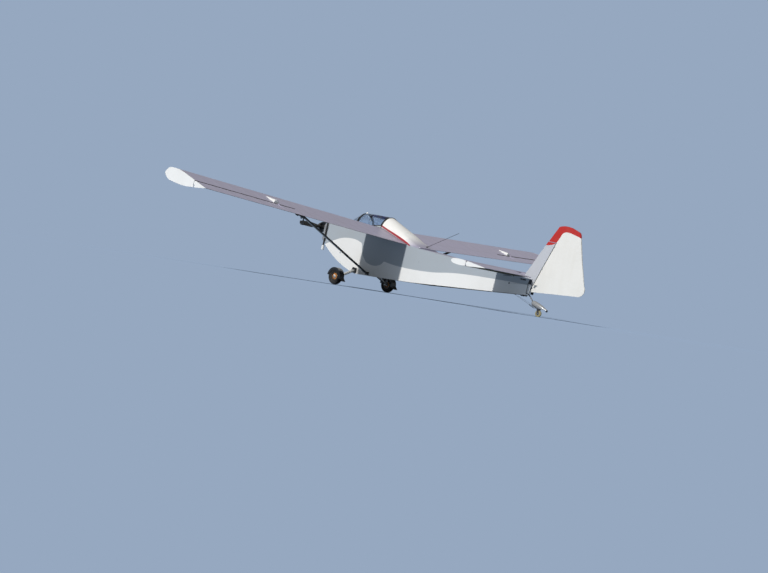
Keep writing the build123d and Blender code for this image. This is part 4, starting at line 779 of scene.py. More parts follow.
def buildEngine():
    look = engineLook
    kit = Kit("engineFittings")
    top, length, radius = look["headTop"], look["filterLength"], look["filterRadius"]
    carburettorX = look["carburettorX"]
    (sideY, sideZ), (px, py), (fx, fy, fz) = look["silencer"], look["pipe"], look["filter"]
    for index, x in enumerate(look["heads"]):
        kit.block("castAluminium", (x, 0, top + 0.004), (0.076, 0.12, 0.01), 0.004)
        for turn in ring(6):
            kit.bolt((x + 0.03 * math.cos(turn), 0.048 * math.sin(turn), top + 0.008), upward, 0.0055, 0.007)
        for drop, coil in zip(look["plugDrops"], look["coils"]):
            aim = Vector((-0.15, -1, 0.12)).normalized()
            foot = Vector((x, look["plugY"], top - drop))
            kit.lathe("steel", foot, aim, "0 9, 10 9, 12 6", 6)
            kit.lathe("panel", foot + aim * 0.01, aim, "0 10, 20 12, 30 9", 18)
            kit.tube("panel", bent(foot + aim * 0.036, (coil[0] + 0.02, coil[1], coil[2] + 0.026),
                (0.0, -0.03 - 0.012 * index, 0.052)), look["lead"], 8)
        kit.tube("exhaust", [(x, 0.064, 0.15), (x, 0.1, 0.152), (x - 0.025, 0.128, 0.156),
            (x - 0.06, 0.146, sideZ), (2.14, sideY, sideZ)], 0.0185, 18)
        kit.lathe("steel", (x, 0.088, 0.151), port, "0 27, 6 27", 24)
    # fan housing ahead of the heads, with its grille
    fan = Vector(look["fan"])
    for x, grow in ((2.402, 0.0), (2.424, 0.004), (2.446, 0.0)):
        kit.block("castAluminium", (x, 0, fan.z - 0.004), (0.021, 0.15 + grow, 0.16 + grow), 0.008)
    kit.lathe("castAluminium", fan - ahead * 0.01, ahead, "0 68, 10 66, 20 58, 20 52, 4 50, 0 50", 40, True)
    for turn in ring(10):
        kit.tube("steel", [fan + out(turn) * reach for reach in (0.014, 0.056)], 0.0022, 6)
    kit.lathe("castAluminium", fan - ahead * 0.006, ahead, "0 17, 8 16, 12 8", 24)
    for y, z in ((0.066, 0.216), (-0.066, 0.216), (0.066, 0.078), (-0.066, 0.078)):
        kit.bolt((2.4565, y, z), ahead, 0.0048, 0.007)
    for x, y, z in look["coils"]:
        kit.block("panel", (x, y, z), (0.05, 0.064, 0.05), 0.005)
        kit.block("steel", (x, y, z - 0.026), (0.064, 0.05, 0.005), 0.001)
        for step in (-0.026, 0.026):
            kit.bolt((x + step, y, z - 0.0235), upward, 0.004, 0.006)
    kit.lathe("castAluminium", (2.212, fy, fz), -ahead, "0 26, 30 26, 32 22, 70 22, 72 28, 96 28", 28)
    kit.block("castAluminium", (carburettorX, fy, fz - 0.034), (0.046, 0.05, 0.036), 0.006)
    kit.lathe("castAluminium", (carburettorX, fy, fz + 0.018), upward, "0 18, 22 18, 26 12", 20)
    pleats = [(0.014 + (length - 0.02) * step / 16, radius - 0.008 * step / 16 - (0.004 if step % 2 else 0))
              for step in range(17)]
    kit.lathe("panel", (fx, fy, fz), -ahead, [(0, 0.028), (0.012, 0.03), *pleats, (length, radius - 0.01),
        (length + 0.004, radius - 0.022)], 30)
    kit.tube("tyre", bent((2.15, fy - 0.02, fz - 0.05), (1.985, -0.16, 0.119), (0.0, -0.03, 0.02)), 0.0045,
        10)
    kit.tube("panel", bent((carburettorX, fy, fz + 0.043), (1.965, 0.05, 0.128), (0.0, 0.02, 0.03)), 0.0032,
        8)
    # bands, springs and end caps of the silencer
    for x in look["silencerBands"]:
        kit.lathe("steel", (x - 0.009, sideY, sideZ), ahead, "0 35.2, 18 35.2, 18 36.4, 0 36.4", 48, True)
        kit.bolt((x, sideY, sideZ + 0.0362), upward, 0.005, 0.008)
    kit.lathe("silencer", (1.829, sideY, sideZ), -ahead, "0 24, 3 23, 5 18")
    kit.lathe("steel", (2.0755, sideY, sideZ), ahead, "0 22.5, 20 22.5, 22 19.5", 30)
    for side in (0.026, -0.026):
        kit.coil("steel", (2.064, sideY + side, sideZ + 0.006), (2.118, sideY + side * 0.85, sideZ + 0.006),
            0.0045, 0.001, 9)
    # exhaust outlet, clamp and the stay that holds the pipe off the hull
    mouth = (px, py, look["pipeEnd"])
    kit.lathe("silencer", mouth, upward, "-3 22.5, 0 27.2, 88 27.2, 91 26.2, 91 22.5", 40, True)
    kit.lathe("soot", mouth, upward, "-2 22.4, 0 22.4")
    kit.lathe("steel", (px, py, -0.372), upward, "0 17.2, 12 17.2, 12 19.2, 0 19.2", 30, True)
    kit.bolt((px, py + 0.019, -0.366), port, 0.004, 0.008)
    kit.lathe("steel", (px, py, -0.235), upward, "0 17.2, 18 17.2, 18 19.2, 0 19.2", 30, True)
    kit.plate("steel", "-16 -8, 18 -8, 18 8, -16 8", (2.108, 0.2905, -0.226), ahead, upward, 0.003)
    # drive flange, engine mount rubbers
    kit.lathe("steel", (2.448, 0, look["hub"]), ahead, "0 44, 10 44, 12 36, 28 36", 36)
    for mount in look["mounts"]:
        kit.lathe("tyre", mount, ahead, "0 21, 10 26, 30 26, 40 21", 24)
    kit.done("engine_metal")

    screw = Kit("airscrewFittings", "airscrew")
    hub = upward * look["hub"]
    for turn in ring(6):
        screw.bolt(ahead * 2.4818 + hub + out(turn) * 0.04, -ahead, 0.0052, 0.008)
    for turn in ring(8):
        aim = out(turn + 0.39)
        spot, normal = touch("spinner", ahead * 2.553 + hub + aim * 0.2, -aim)
        screw.lathe("steel", spot, normal, "-1 4.2, 0.8 4.2, 1.4 3", 14)
    screw.lathe("propeller", ahead * 2.54 + hub, ahead, "-4 104.6, 3 106.2, 5 105.6, 1.5 103, -4 102", 72,
        True)
    screw.done("propeller_black")


# Wheels: hub faces, spokes, valve and side rings turn with the wheel; leg clamps, brake and nuts do not
wheelLook = {
    "axle": (1.159, 0.774, -0.879), "rimFace": 0.035, "webHalf": 0.006, "spokes": 6,
    "sideRings": (0.116, 0.124),
    "tyreSide": 0.0462, "cheek": 0.0425, "tailAxle": (-2.95, 0.0, -0.64),
    "brake": rows("-20 300 -676, -24 360 -706, -26 480 -762, -26 600 -818, -22 660 -846, -14 694 -852"),
}


def buildWheels():
    look = wheelLook
    ax, ay, az = look["axle"]
    kit = Kit("wheelFittingsPort", "main_wheel_port")
    for side in (1, -1):
        outer, web = port * side, ay + side * look["webHalf"]
        kit.lathe("orange", (ax, web, az), outer, "0 66.5, 7 65.5, 11 60, 16 33, 16 30.2, 0 30.2", 48, True)
        for turn in ring(look["spokes"]):
            kit.tube("orange", [Vector((ax, web + side * rise, az)) + out(turn, ahead) * reach
                for rise, reach in rows("17 31, 13 64")], 0.0062, 8)
            kit.bolt(Vector((ax, web + side * 0.0125, az)) + out(turn + 0.52, ahead) * 0.05, outer, 0.0042,
                0.006)
        # the white ring on the hub face is a painted highlight standing in for the hub's glint
        kit.lathe("silencer", (ax, ay + side * look["rimFace"], az), outer,
                  "-0.5 29.5, 2 29, 3 26, 1.2 16.5, -0.5 16", 40, True)
        for radius in look["sideRings"]:
            kit.lathe("tyre", (ax, ay + side * look["tyreSide"], az), outer,
                      [(-0.0012, radius - 0.0016), (0.0006, radius - 0.0006), (0.0006, radius + 0.0006),
                       (-0.0012, radius + 0.0016)], 96, True)
    valve = (-0.35, 1, -0.35)
    kit.lathe("tyre", (ax + 0.05, ay + 0.006, az + 0.05), valve, "0 4.5, 16 4, 17 2.8", 12)
    kit.lathe("steel", (ax + 0.0447, ay + 0.0212, az + 0.0447), valve, "0 3.2, 8 3.2, 9.5 2", 12)
    kit.pair("rim_paint")

    leg = Kit("legFittingsPort")
    leg.lathe("steel", (ax, 0.812, az), port, "0 15, 2 15", 24)
    leg.lathe("steel", (ax, 0.8138, az), port, "0 16.5, 10 16.5, 12 14", 6)
    leg.tube("steel", [(ax - 0.016, 0.8222, az), (ax + 0.016, 0.8222, az)], 0.0014, 8)
    for dx in (-0.046, 0.046):
        for dz in (-0.034, 0.034):
            leg.bolt((ax + dx, 0.304, -0.7 + dz), port, 0.0062, 0.01)
    # the leg stands between two cheeks on its clamp
    for dx in (-look["cheek"], look["cheek"]):
        leg.plate("black", "302 -686, 332 -697, 336 -735, 302 -735", (ax + dx, 0, 0), port, upward, 0.007,
            0.0015)
        leg.bolt((ax + dx * 1.09, 0.32, -0.714), (dx, 0, 0), 0.0055, 0.009)
    for y in (0.672, 0.696):
        for dx in (-0.014, 0.014):
            leg.bolt((ax + dx, y, -0.8565), upward, 0.0038, 0.007)
    leg.tube("panel", [(ax + dx, y, z) for dx, y, z in look["brake"]], 0.003, 10)
    for y, z in rows("400 -727.5, 540 -792.5, 630 -835"):
        leg.block("panel", (ax - 0.026, y, z + 0.0035), (0.016, 0.009, 0.01), 0.0015)
    leg.pair("leg_metal")

    tx, ty, tz = look["tailAxle"]
    tail, roller = Kit("tailForkFittings", "tail_steering"), Kit("tailWheelHub", "tail_roller")
    for side in (1, -1):
        tail.bolt((tx, ty + side * 0.0295, tz), port * side, 0.0068, 0.008)
        tail.bolt((-2.894, ty + side * 0.064, -0.5565), upward, 0.0045, 0.007)
        roller.lathe("castAluminium", (tx, side * 0.0165, tz), port * side,
            "-2 30, 0.8 29, 1.8 22, 1.8 6.2, -2 6.2", 36, True)
    tail.done("steel")
    roller.done("tail_tyre")


# Lift strut ends, brackets at both ends, and their bolts
strutLook = {
    "foot": (0.82, 0.29, -0.712), "head": (0.82, 2.41, 0.14), "sleeve": 0.085, "sleeveFrom": (0.075, 0.07),
    "sleeveRadius": [0.0395, 0.041, 0.041, 0.0395], "flat": 0.46, "footCheek": 0.0425, "headCheek": 0.045,
}


def buildStruts():
    look = strutLook
    foot, head = Vector(look["foot"]), Vector(look["head"])
    along = (head - foot).normalized()
    kit = Kit("strutFittingsPort")
    for start, way, first in zip((foot, head), (along, -along), look["sleeveFrom"]):
        near, far = start + way * first, start + way * (first + look["sleeve"])
        kit.tube("black", [near, near.lerp(far, 0.03), near.lerp(far, 0.97), far], look["sleeveRadius"], 32,
                 look["flat"], ahead)
        face = way.cross(ahead).normalized()
        for share in (0.25, 0.75):
            for side in (1, -1):
                kit.bolt(near.lerp(far, share) + face * side * 0.0178, face * side, 0.0048, 0.007)
    # the foot bracket on the hull
    kit.plate("black", "-47 -26, 47 -26, 47 30, -47 30", (foot.x, 0.2918, -0.704), ahead, upward, 0.003,
        0.0008)
    for dx in (-look["footCheek"], look["footCheek"]):
        kit.plate("black", "291 -722, 322 -708, 328 -690, 291 -682", (foot.x + dx, 0, 0), port, upward,
            0.004, 0.001)
        kit.bolt((foot.x + dx * 1.05, 0.311, -0.702), (dx, 0, 0), 0.0052, 0.008)
    # the head bracket under the wing
    spot = touch("wing_port", (head.x, 2.395, -0.3), upward)[0]
    kit.plate("black", "-60 -45, 60 -45, 60 45, -60 45", spot - upward * 0.0015, Vector((1, 0, -0.02)),
              Vector((0, 1, wingRise)), 0.004, 0.001)
    for dx in (-look["headCheek"], look["headCheek"]):
        kit.plate("black", "-55 0, 40 0, 26 -40, -30 -52, -52 -44", spot + ahead * dx, port, upward, 0.005,
            0.001)
        kit.bolt(spot + Vector((dx * 1.055, -0.014, -0.026)), (dx, 0, 0), 0.0062, 0.01)
        for dy in (-0.032, 0.032):
            kit.bolt(spot + Vector((dx * 0.72, dy, -0.0035 + dy * 0.042)), -upward, 0.0044, 0.006)
    kit.pair("black_paint")


# Tail end: sternpost plates, spring clamp, horns with their cables, steering springs, the housing's dark end
tailLook = {
    "plateX": (-2.724, -2.674), "plateZ": (-0.345, -0.19), "rootFitting": (-2.545, -0.128),
    "clamp": rows("-2668 74, -2612 86, -2556 94"), "housing": ((-2.772, 0, -0.475), (-3.112, 0, -0.568)),
    "hornZ": -0.18, "hornReach": 0.088, "cableExit": (-2.3, -0.246), "cableBend": (0.8, 0.99),
    "steerExit": (-2.395, 0.02), "steerBend": (0.74, 0.97), "arm": (-2.894, 0.07, -0.562),
    "elevatorHorn": -2.371, "rodFrom": -2.15, "tapeX": (-2.306, -2.346), "tapeY": (0.172, 1.46),
}


def hullHalf(x):
    return 0.29 if x > -0.3 else 0.29 - 0.22 * (-0.3 - x) / 2.4


def buildTail():
    look = tailLook
    kit = Kit("sternFittings")
    (x0, x1), (z0, z1), (ex, ez), (fx, fz) = (look[key] for key in ("plateX", "plateZ", "cableExit",
        "rootFitting"))
    half, tall = (x1 - x0) / 2, (z1 - z0) / 2
    for side in (1, -1):
        slope = Vector((x1 - x0, side * (hullHalf(x1) - hullHalf(x0)), 0)).normalized()
        centre = Vector(((x0 + x1) / 2 + 0.004, side * (hullHalf((x0 + x1) / 2) + 0.0008), (z0 + z1) / 2))
        kit.plate("white", [(-half, -tall), (half, -tall), (half, tall * 0.9), (half * 0.8, tall),
            (-half, tall)], centre, slope, upward, 0.0035, 0.0008)
        kit.plate("black", [(-half - 0.002, -tall - 0.012), (half + 0.012, -tall - 0.012),
            (half + 0.012, tall * 1.1), (half * 0.9, tall + 0.085), (-half - 0.002, tall + 0.085)],
            centre - port * side * 0.0014, slope, upward, 0.003, 0.0006)
        for dz in (-0.062, -0.02, 0.02, 0.062):
            kit.bolt(centre + Vector((half * 0.55, side * 0.004, dz)), port * side, 0.0036, 0.005)
        # tailplane root fitting and its bolts
        kit.plate("black", "-60 -14, 50 -12, 60 10, -60 14", (fx, side * (hullHalf(fx) + 0.0012), fz),
            slope, upward, 0.004, 0.001)
        for x in (fx - 0.045, fx, fx + 0.045):
            kit.bolt((x, side * (hullHalf(x) + 0.003), fz), port * side, 0.0042, 0.006)
        # cable guide where the rudder cable leaves the hull
        kit.lathe("black", (ex, side * (hullHalf(ex) - 0.001), ez), (-0.5, side, 0.0), "0 14, 4 12, 10 6", 20)
    # clamp of the tail spring under the stern
    for x, wide in look["clamp"]:
        spot = touch("aft_fuselage", (x, 0, -0.9), upward)[0]
        kit.block("black", spot - upward * 0.0095, (0.036, wide, 0.021), 0.003)
        for side in (1, -1):
            kit.bolt(spot + Vector((0, side * (wide / 2 - 0.012), -0.02)), -upward, 0.0048, 0.009)
    # dark end of the tail housing
    front, rear = (Vector(end) for end in look["housing"])
    axis = (rear - front).normalized()
    kit.lathe("black", rear - axis * 0.02, axis, "0 21.2, 4 21.2, 18 19.6, 22 15, 23 8", 36)
    for share in (0.3, 0.62):
        for side in (1, -1):
            origin = front.lerp(rear, share) + Vector((0, side * 0.2, 0.008))
            kit.lathe("steel", *touch("tail_housing", origin, port * -side), "-1 4.2, 1 4, 1.6 2.8", 14)
    kit.done("steel")

    horn = Kit("rudderHorns", "rudder_body")
    z, reach = look["hornZ"], look["hornReach"]
    hinge = -2.715 - 0.31 * (z + 0.3) / 0.904
    for side in (1, -1):
        horn.plate("steel", rows("0 20, -60 20, -34 50") + [(-0.012, reach), (0.004, reach), (0.008, 0.06)],
                   (hinge - 0.012, 0, z), ahead, port * side, 0.004, 0.0008)
        horn.bolt((hinge - 0.016, side * 0.08, z + 0.002), upward, 0.0045, 0.007)
        horn.bolt((hinge - 0.03, side * 0.036, z + 0.002), upward, 0.0038, 0.006)
    horn.done("steel")
    gx, gy = look["steerExit"]
    gz = touch("aft_fuselage", (gx, gy, -0.9), upward)[0].z
    for word, side in bothSides:
        start = Vector((ex - 0.004, side * (hullHalf(ex) + 0.004), ez))
        end = Vector((hinge - 0.016, side * 0.08, z + 0.006))
        cable = Kit("rudderCable" + word)
        cable.tube("steel", between(start, end, 20), 0.0016, 8)
        for share in (0.62, 0.72):
            cable.lathe("steel", start.lerp(end, share), end - start, "0 2.2, 2 3.8, 22 3.8, 24 2.2", 12)
        cable.done("steel", ("rudder_body", *(start.lerp(end, share) for share in look["cableBend"])))
        start = Vector((gx, side * gy, gz - 0.002))
        end = Vector(look["arm"]) * Vector((1, side, 1))
        spring = [start.lerp(end, share) for share in look["steerBend"]]
        wire = Kit("steeringSpring" + word)
        wire.tube("steel", between(start, end, 20)[:16], 0.0018, 8)
        wire.coil("panel", *spring, 0.0085, 0.0016, 16)
        wire.tube("steel", [start.lerp(end, 0.965), start.lerp(end, 0.985), end], 0.0018, 8)
        wire.done("steel", ("tail_steering", *spring))
    guide = Kit("steeringGuides")
    for side in (1, -1):
        guide.lathe("black", (gx + 0.004, side * gy, gz + 0.002), (-0.6, 0, -0.5), "-4 10, 4 9, 10 5", 18)
    guide.done("steel")

    lever = Kit("elevatorHorn", "elevator_body")
    x = look["elevatorHorn"]
    for side in (1, -1):
        lever.plate("black", "10 0, -60 4, -48 -12, -6 -50, 8 -50", (x, side * 0.15, -0.072), ahead, upward,
            0.004, 0.0008)
        lever.bolt((x, side * 0.152, -0.114), port * side, 0.0048, 0.007)
    lever.done("steel")
    for word, side in bothSides:
        start = Vector((look["rodFrom"], side * (hullHalf(look["rodFrom"]) - 0.004), -0.134))
        end = Vector((x, side * 0.145, -0.115))
        rod = Kit("elevatorRod" + word)
        rod.tube("darkSteel", between(start, end, 10), 0.0042, 12)
        rod.done("steel", ("elevator_body", start.lerp(end, 0.5), end))


# Strips under the gap between tailplane and elevator, ahead of the hinge line
def buildGapTape():
    front, rear = tailLook["tapeX"]
    tape = Kit("hingeGapTape")
    for side in (1, -1):
        found = trace("stabiliser",
            [((front - 0.006, side * y, -0.5), upward) for y in steps(*tailLook["tapeY"], 14)])
        tape.rings("tail", [[(x, spot.y, spot.z + lift) for x, lift in (
            (front, 0.0005), (rear, 0.0005), (rear, -0.0008), (front, -0.0008))] for spot, _ in found])
    tape.done("wing_fabric")


# Aileron rods from the fairings to the horns
aileronRodLook = {"hornY": 3.45, "rodY": 3.4445, "fairingX": 0.303, "rodFrom": 0.4, "mouthX": 0.296}


def buildAileronRods():
    look = aileronRodLook
    place = parked.inverted() @ nodes["aileron_port"].matrix_world
    spots = [place @ vert.co for vert in nodes["aileron_port"].data.vertices]
    horn = max((spot for spot in spots if abs(spot.y - look["hornY"]) < 0.006), key=lambda spot: spot.z)
    mouth = touch("rod_fairing_port", (look["fairingX"], look["hornY"], 0.6), -upward)[0]
    middle = Vector((look["mouthX"], look["hornY"], mouth.z - 0.055))
    lines = [(middle + out(turn) * 0.2, -out(turn)) for turn in steps(0, math.pi, 12)]
    edge = trace("rod_fairing_port", lines)
    for word, side in bothSides:
        end = Vector((horn.x, side * look["rodY"], horn.z - 0.006))
        start = Vector((look["rodFrom"], side * look["rodY"], mouth.z - 0.026))
        rod = Kit("aileronRod" + word)
        rod.tube("steel", between(start, end, 12), 0.0045, 12)
        rod.lathe("steel", end - port * side * 0.006, port * side, "0 7.8, 8.5 7.8", 18)
        rod.bolt(end + port * side * 0.0088, port * side, 0.004, 0.006)
        rod.done("steel", (word.lower() + "_aileron", start, end))
        lip = Kit("fairingMouth" + word)
        lip.tube("white", [(spot.x - 0.001, side * spot.y, spot.z) for spot, _ in edge], 0.0022, 8)
        lip.done("wing_fabric")


# Small fittings on the hull: plugs, antenna foot, canopy catch and handle, vent knob, fuel cap, root seals
hullFittings = {
    "plugs": rows("-345 -243, 1634 -441"), "cap": (1.9, 0.0), "antenna": (-0.226, 0.0, 0.029),
    "antennaAim": (-0.688, 0, 0.391), "knobX": 1.42, "hoop": 0.7415, "hoopRadius": 0.0085, "catchX": 1.06,
    "sealY": 0.2965, "sealRadius": 0.0048, "chord": 1.048,
}


def buildHullFittings():
    look = hullFittings
    kit = Kit("hullFittings")
    for x, z in look["plugs"]:
        for side in (1, -1):
            kit.lathe("grey", (x, side * hullHalf(x), z), port * side, "-1 16, 2 15, 2.8 11, 1 9", 28)
    cap = touch("nose_deck", (*look["cap"], 0.6), -upward)[0]
    kit.lathe("black", cap, upward, "-2 36, 6 36, 8 33, 18 33, 22 29", 40)
    for turn in ring(10):
        kit.block("black", cap + out(turn, ahead, port) * 0.033 + upward * 0.012, (0.007, 0.007, 0.01), 0.001)
    aim = Vector(look["antennaAim"]).normalized()
    kit.lathe("tyre", Vector(look["antenna"]) - aim * 0.006, aim, "0 15.5, 8 15, 30 9.5, 50 9.2, 62 6.2", 24)
    # white vent knob on the front hoop
    top = touch("windscreen_bow", (look["knobX"], 0.0, 0.9), -upward)[0]
    kit.lathe("white", top - upward * 0.002, upward, "0 24, 4 24, 6 18, 14 18, 22 15, 26 8", 30)
    # black trim over the front edge of the turtle deck
    hoop = trace("turtle_deck", inward(look["hoop"], steps(0.02, math.pi - 0.02, 40), 0.14))
    kit.tube("tyre", [spot for spot, _ in hoop], look["hoopRadius"], 12)
    # catch block on the port coaming
    rail = touch("coaming_port", (look["catchX"], 0.6, 0.165), -port)[0]
    kit.block("black", rail + Vector((0, 0.004, -0.004)), (0.07, 0.01, 0.022), 0.002)
    for dx in (-0.024, 0.024):
        kit.bolt(rail + Vector((dx, 0.009, -0.004)), port, 0.0032, 0.004)
    kit.done("black_paint")

    # canopy handle and catch lever turn up with the canopy
    handle = Kit("canopyHandle", "canopy")
    spot = touch("canopy_frame", (look["catchX"], 0.6, 0.206), -port)[0]
    handle.tube("black", [spot + Vector(step) for step in rows("-40 -2 4, -36 20 6, 36 20 0, 40 -2 -4")],
        0.0048, 12)
    handle.lathe("steel", spot, port, "-1 9, 10 9, 12 6", 20)
    handle.done("canopy_trim")

    # rubber seal round the wing root
    for word, side in bothSides:
        seal = Kit("rootSeal" + word)
        for height in (1.0, -1.0):
            line = [((0.006 + look["chord"] * (1 - math.cos(turn)) / 2, side * look["sealY"], height),
                -upward * height) for turn in steps(0, math.pi, 32)]
            seal.tube("tyre", [spot for spot, _ in trace("wing_" + word.lower(), line)], look["sealRadius"],
                10)
        seal.done("wing_fabric")


# Cockpit: dials, switches, glare shield, throttle, harness, stick grip, pedal treads, stringers
cabinLook = {
    "panelFace": 1.5545, "edge": 0.08585,
    "dials": [(-0.15, 0.0, 0.032, 220), (-0.06, 0.0, 0.04, 60), (0.04, 0.0, 0.04, 130),
    (0.13, 0.0, 0.032, 300),
              (-0.105, -0.07, 0.026, 250), (-0.03, -0.076, 0.026, 110), (0.045, -0.076, 0.026, 190),
              (0.115, -0.07, 0.026, 20)],
    "switches": (-0.03, -0.01, 0.01, 0.03), "knobs": (-0.19, -0.15, 0.17), "strap": 0.045, "webbing": 0.0024,
    "shield": rows("1568 84 46, 1640 86 50, 1720 88 40, 1778 90 32"), "shieldHalf": 0.262,
    "shoulder": rows("772 95 -10, 792 94 72, 818 92 60, 838 90 -40, 868 82 -220, 900 68 -400, "
                     "925 50 -480, 962 26 -502"),
    "lap": rows("858 222 -540, 880 214 -506, 915 170 -498, 950 110 -496, 972 40 -498"),
    "buckle": (0.975, 0, -0.503),
    "stick": (1.3, 0, -0.397), "cable": rows("1850 150 -400, 1780 180 -440, 1400 225 -560, 980 245 -620"),
    "stringers": rows("-60 -110, -330 -300"), "formers": rows("1145 -700 60, 1510 -600 -20, 1800 -480 70"),
}


def buildCabin():
    look = cabinLook
    kit = Kit("cockpitFittings")
    face, wall = look["panelFace"], {side: Vector((1, side, 1)) for side in (1, -1)}
    for y, rise, radius, angle in look["dials"]:
        z, inner = look["edge"] + rise, radius - 0.005
        kit.lathe("dialFace", (face + 0.0055, y, z), -ahead, [(0, inner), (0.003, inner)], 40)
        kit.lathe("panel", (face + 0.0005, y, z), -ahead, [(0, radius + 0.0005), (0.002, radius),
            (0.0025, radius - 0.002), (0.001, inner), (0, inner)], 40, True)
        for turn in ring(12 if radius > 0.03 else 8):
            aim, half = out(turn), inner * 0.1
            kit.plate("tick", [(-0.0006, -half), (0.0006, -half), (0.0006, half), (-0.0006, half)],
                      Vector((face + 0.0022, y, z)) + aim * inner * 0.84, aim.cross(ahead), aim, 0.0006)
        aim = out(math.radians(angle))
        kit.plate("tick", [(-0.0011, -inner * 0.2), (0.0011, -inner * 0.2), (0.0005, inner * 0.78),
            (-0.0005, inner * 0.78)], (face + 0.001, y, z), aim.cross(ahead), aim, 0.0006)
        kit.lathe("panel", (face + 0.0016, y, z), -ahead, "0 2.6, 1.6 2.2", 16)
        for turn in ring(4):
            kit.lathe("steel", Vector((face + 0.0056, y, z)) + out(turn + 0.785) * (radius + 0.005), -ahead,
                      "0 2.2, 1 1.8", 10)
    for y in look["switches"]:
        kit.lathe("steel", (face + 0.0055, y, -0.072), -ahead, "0 5.8, 3 5.8", 6)
        kit.tube("steel", [(face + 0.003, y, -0.072), (face - 0.012, y, -0.064)], [0.0018, 0.0026], 10)
    for y in look["knobs"]:
        kit.lathe("panel", (face + 0.0055, y, -0.045), -ahead, "0 9, 12 8, 14 6", 20)
    # glare shield from the panel's top to the foot of the windscreen
    layers = []
    for x, low, crown in look["shield"]:
        over = [(look["shieldHalf"] * math.cos(math.pi * i / 24),
            low + crown * math.sin(math.pi * i / 24) ** 0.8) for i in range(25)]
        layers.append([(x, y, z) for y, z in over] + [(x, y, z - 0.005) for y, z in reversed(over)])
    kit.rings("panel", layers)
    # throttle quadrant on the port wall
    kit.block("panel", (1.4, 0.268, -0.105), (0.11, 0.016, 0.06), 0.003)
    kit.tube("steel", [(1.4, 0.262, -0.1), (1.385, 0.25, -0.03)], 0.0045, 12)
    kit.lathe("panel", (1.385, 0.25, -0.034), (-0.2, -0.1, 1), "0 7, 6 15, 18 16, 26 8", 24)
    # harness: shoulder straps over the bulkhead, lap straps, buckle
    for side in (1, -1):
        for key, across in (("shoulder", port), ("lap", Vector((1, 0, 0.1)))):
            kit.strap("harness", [Vector(spot) * wall[side] for spot in look[key]], look["strap"],
                look["webbing"], across)
        kit.block("steel", (0.866, side * 0.084, -0.205), (0.005, 0.056, 0.034), 0.001, -0.15)
    kit.lathe("steel", look["buckle"], (0.05, 0, 1), "0 30, 10 30, 14 24, 16 10", 30)
    kit.block("steel", Vector(look["buckle"]) + upward * 0.019, (0.03, 0.012, 0.008), 0.002)
    # stick grip with finger ridges and a button
    stick = Vector(look["stick"])
    ridges = [(0.108 * step / 18, 0.0186 + 0.0012 * math.cos(step * math.tau / 4.5)) for step in range(1, 19)]
    kit.lathe("tyre", stick, upward, [(0.0, 0.0176), *ridges, (0.111, 0.017), (0.1135, 0.012)], 28)
    kit.lathe("stripe", stick + Vector((0.018, 0, 0.098)), (1, 0, 0.2), "0 6, 4 6, 5 4", 16)
    kit.lathe("tyre", stick - upward * 0.308, upward, "0 34, 8 30, 14 33, 22 24, 28 27, 36 17, 42 11.5")
    # treads on the pedals
    for side in (1, -1):
        for row in range(5):
            kit.block("tyre", (1.8335 - 0.006 * row, side * 0.095, -0.375 + 0.026 * row),
                (0.007, 0.07, 0.01), 0.0015, 0.2)
        kit.tube("steel", [Vector(spot) * wall[side] for spot in look["cable"]], 0.0016, 8)
    kit.done("panel_black")

    # stringers and formers on the inner walls
    wood = Kit("cockpitStringers")
    for side in (1, -1):
        for z0, z1 in look["stringers"]:
            wood.tube("wood", [(x, side * 0.27, z) for x, z in ((0.775, z0), (1.54, (z0 + z1) / 2),
                (2.08, z1))], 0.0085, 4)
        for x, low, high in look["formers"]:
            wood.tube("wood", [(x, side * 0.269, low), (x, side * 0.269, high)], 0.01, 4)
    wood.done("hull_paint")


# Seat cushion, back pad and headrest: swollen by a cloth run, then sewn
padLooks = {
    "seatCushion": {"foot": (0.864, 0, -0.59), "slope": (0.279, 0, 0.0275), "crown": 1, "deep": 0.256,
                    "thick": 0.05, "half": 0.203, "cap": 0.006, "channels": (-0.068, 0.068), "fill": 0.75,
                    "replaces": "seat_cushion"},
    "backPad": {"foot": (0.861, 0, -0.505), "slope": (-0.0855, 0, 0.56), "crown": -1, "deep": 0.5,
                "thick": 0.03, "half": 0.2, "cap": 0.005, "channels": (-0.07, 0.07), "fill": 0.6,
                "replaces": None},
    "headPad": {"foot": (0.7675, 0, 0.085), "slope": (0, 0, 1), "crown": -1, "deep": 0.12,
                "thick": 0.036, "half": 0.105, "cap": 0.006, "channels": (), "fill": 0.7, "replaces": None},
}
padShape = {"voxel": 0.006, "pressure": 4.0, "frames": 20, "inset": 0.01, "lift": 0.012,
    "channelDepth": 0.01, "channelWidth": 0.009}
stitchLook = {"Spacing": 0.0085, "Head length": 0.003, "Head width": 0.0009, "Head height": 0.0008,
    "Finish": finishes["piping"].material}


